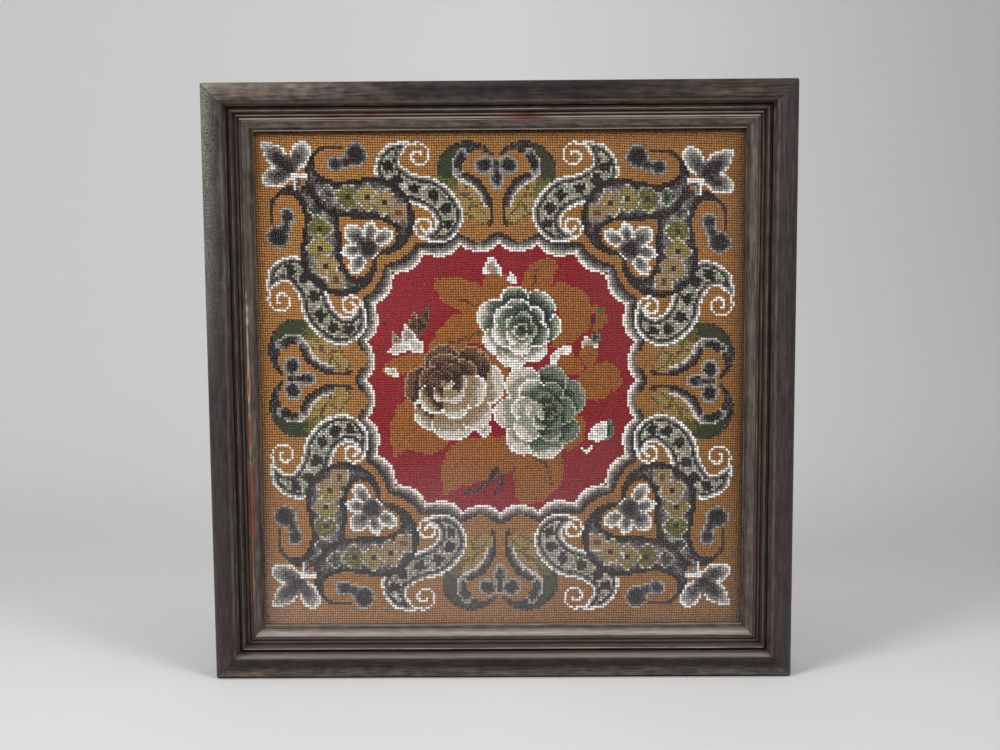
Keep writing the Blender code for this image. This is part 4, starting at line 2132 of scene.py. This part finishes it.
@dataclass
class Canvas:
    """The stiff canvas that carries the stitches: a flat sheet with slight waves."""

    middle: float
    width: float = 404.4
    height: float = 415.4
    front: float = 14.5
    thickness: float = 1.0
    cuts: int = 40

    def build(self, stitches: list[bpy.types.Object]) -> None:
        """Args:
            stitches: The pieces that are worked on it; not used.
        """
        piece = start_primitive(
            bpy.ops.mesh.primitive_grid_add,
            "canvas",
            x_subdivisions=self.cuts,
            y_subdivisions=self.cuts,
            size=1.0,
            location=(0.0, self.front * MM, self.middle * MM),
            rotation=(math.pi / 2, 0.0, 0.0),
        )
        piece.scale = (self.width * MM, self.height * MM, 1.0)
        bpy.ops.object.transform_apply(location=True, rotation=True, scale=True)
        for vertex in piece.data.vertices:
            x, _, z = vertex.co
            vertex.co.y += 0.06 * MM * math.sin(x * 31 + 0.7) * math.sin(z * 26 + 0.2)
        thick = piece.modifiers.new("thickness", "SOLIDIFY")
        thick.thickness = self.thickness * MM
        thick.offset = -1.0
        bpy.ops.object.modifier_apply(modifier=thick.name)
        bpy.ops.object.shade_smooth_by_angle(angle=math.radians(40))
        piece.data.materials.append(CanvasThread().material())
        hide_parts("beadwork_panel")
        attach(piece, "root")
        LOG.info("canvas: %.1f by %.1f mm", self.width, self.height)


@dataclass
class Lamp:
    """One soft box: where it is, what it looks at, its size and its strength."""

    name: str
    place: tuple[float, float, float]
    target: tuple[float, float, float]
    size: Point
    power: float
    colour: tuple[float, float, float] = (1.0, 1.0, 1.0)

    def build(self) -> None:
        """Hang the lamp."""
        light = bpy.data.lights.new(self.name, "AREA")
        light.shape = "RECTANGLE"
        light.size, light.size_y = self.size
        light.energy = self.power
        light.color = self.colour
        lamp = bpy.data.objects.new(self.name, light)
        aim = Vector(self.target) - Vector(self.place)
        lamp.rotation_euler = aim.to_track_quat("-Z", "Y").to_euler()
        lamp.location = self.place
        bpy.context.scene.collection.objects.link(lamp)


@dataclass
class Studio:
    """The pale sweep that the frame stands on, the soft light, and the camera."""

    floor_front: float = -3.2
    curve_start: float = 0.65
    curve_radius: float = 0.9
    wall_height: float = 3.2
    half_width: float = 3.5
    distance: float = 1.2666
    pitch: float = math.radians(6.9)
    yaw: float = math.radians(-0.51)
    roll: float = math.radians(-0.41)
    target: tuple[float, float, float] = (-0.0008, -0.0145, 0.2461)
    lens: float = 57.6
    air_colour: tuple[float, float, float, float] = (0.80, 0.81, 0.83, 1.0)
    air_strength: float = 0.25
    lamps: tuple[Lamp, ...] = (
        Lamp("key_left", (-1.7, -1.6, 1.6), (0.0, 0.0, 0.22), (0.9, 0.9), 42.0),
        Lamp("key_right", (1.7, -1.6, 1.6), (0.0, 0.0, 0.22), (0.9, 0.9), 29.0),
        Lamp("overhead", (0.0, -0.3, 1.9), (0.0, 0.1, 0.0), (1.4, 0.8), 10.0),
    )

    def build(self) -> None:
        """Set up the sweep, the lamps, the camera and the view."""
        self.sweep()
        for lamp in self.lamps:
            lamp.build()
        self.camera()
        world = bpy.data.worlds.new("studio_air")
        world.use_nodes = True
        background = world.node_tree.nodes["Background"]
        background.inputs["Color"].default_value = self.air_colour
        background.inputs["Strength"].default_value = self.air_strength
        bpy.context.scene.world = world
        bpy.context.scene.view_settings.view_transform = "Standard"

    def sweep(self) -> None:
        """Lay the floor and curve it up into the wall."""
        middle = (self.floor_front + self.curve_start) / 2
        piece = start_primitive(
            bpy.ops.mesh.primitive_plane_add, "studio_sweep", size=1.0, location=(0.0, middle, 0.0)
        )
        piece.scale = (2 * self.half_width, self.curve_start - self.floor_front, 1.0)
        bpy.ops.object.transform_apply(location=True, rotation=True, scale=True)
        bpy.ops.object.mode_set(mode="EDIT")
        select_in_edit(piece, lambda ends: all(end.y > self.curve_start - 0.01 for end in ends), "EDGE")
        bpy.ops.mesh.spin(
            steps=32,
            angle=-math.pi / 2,
            center=(0.0, self.curve_start, self.curve_radius),
            axis=(1.0, 0.0, 0.0),
        )
        top = self.curve_radius
        select_in_edit(piece, lambda ends: all(end.z > top - 0.001 for end in ends), "EDGE")
        bpy.ops.mesh.extrude_edges_move(TRANSFORM_OT_translate={"value": (0.0, 0.0, self.wall_height)})
        bpy.ops.mesh.select_all(action="SELECT")
        bpy.ops.mesh.normals_make_consistent(inside=False)
        bpy.ops.object.mode_set(mode="OBJECT")
        bpy.ops.object.shade_smooth()
        piece.data.materials.append(StudioPaper().material())
        piece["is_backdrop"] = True

    def camera(self) -> None:
        """Stand the camera where the photograph was taken from."""
        ahead = Vector(
            (
                math.sin(self.yaw) * math.cos(self.pitch),
                math.cos(self.yaw) * math.cos(self.pitch),
                -math.sin(self.pitch),
            )
        )
        right = Vector((math.cos(self.yaw), -math.sin(self.yaw), 0.0))
        up = right.cross(ahead)
        right, up = (
            math.cos(self.roll) * right + math.sin(self.roll) * up,
            math.cos(self.roll) * up - math.sin(self.roll) * right,
        )
        place = Vector(self.target) - self.distance * ahead
        lens = bpy.data.cameras.new("camera")
        lens.lens = self.lens
        lens.sensor_width = 36.0
        lens.clip_start, lens.clip_end = 0.02, 50.0
        camera = bpy.data.objects.new("camera", lens)
        camera.matrix_world = Matrix(
            (
                (right.x, up.x, -ahead.x, place.x),
                (right.y, up.y, -ahead.y, place.y),
                (right.z, up.z, -ahead.z, place.z),
                (0.0, 0.0, 0.0, 1.0),
            )
        )
        bpy.context.scene.collection.objects.link(camera)
        bpy.context.scene.camera = camera


def main() -> None:
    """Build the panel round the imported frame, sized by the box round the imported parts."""
    logging.basicConfig(level=logging.INFO, format="%(name)s %(message)s")
    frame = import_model()
    packed_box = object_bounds()
    low, high = packed_box
    width, depth, height = (round((high[axis] - low[axis]) / MM, 1) for axis in range(3))
    Moulding(width, height, depth).build()
    Filling(frame["nodes"]).build()
    needlework = Needlework(work_chart(), height / 2)
    needlework.build()
    Canvas(height / 2).build(needlework.pieces)
    Studio().build()


if __name__ == "__main__":
    main()
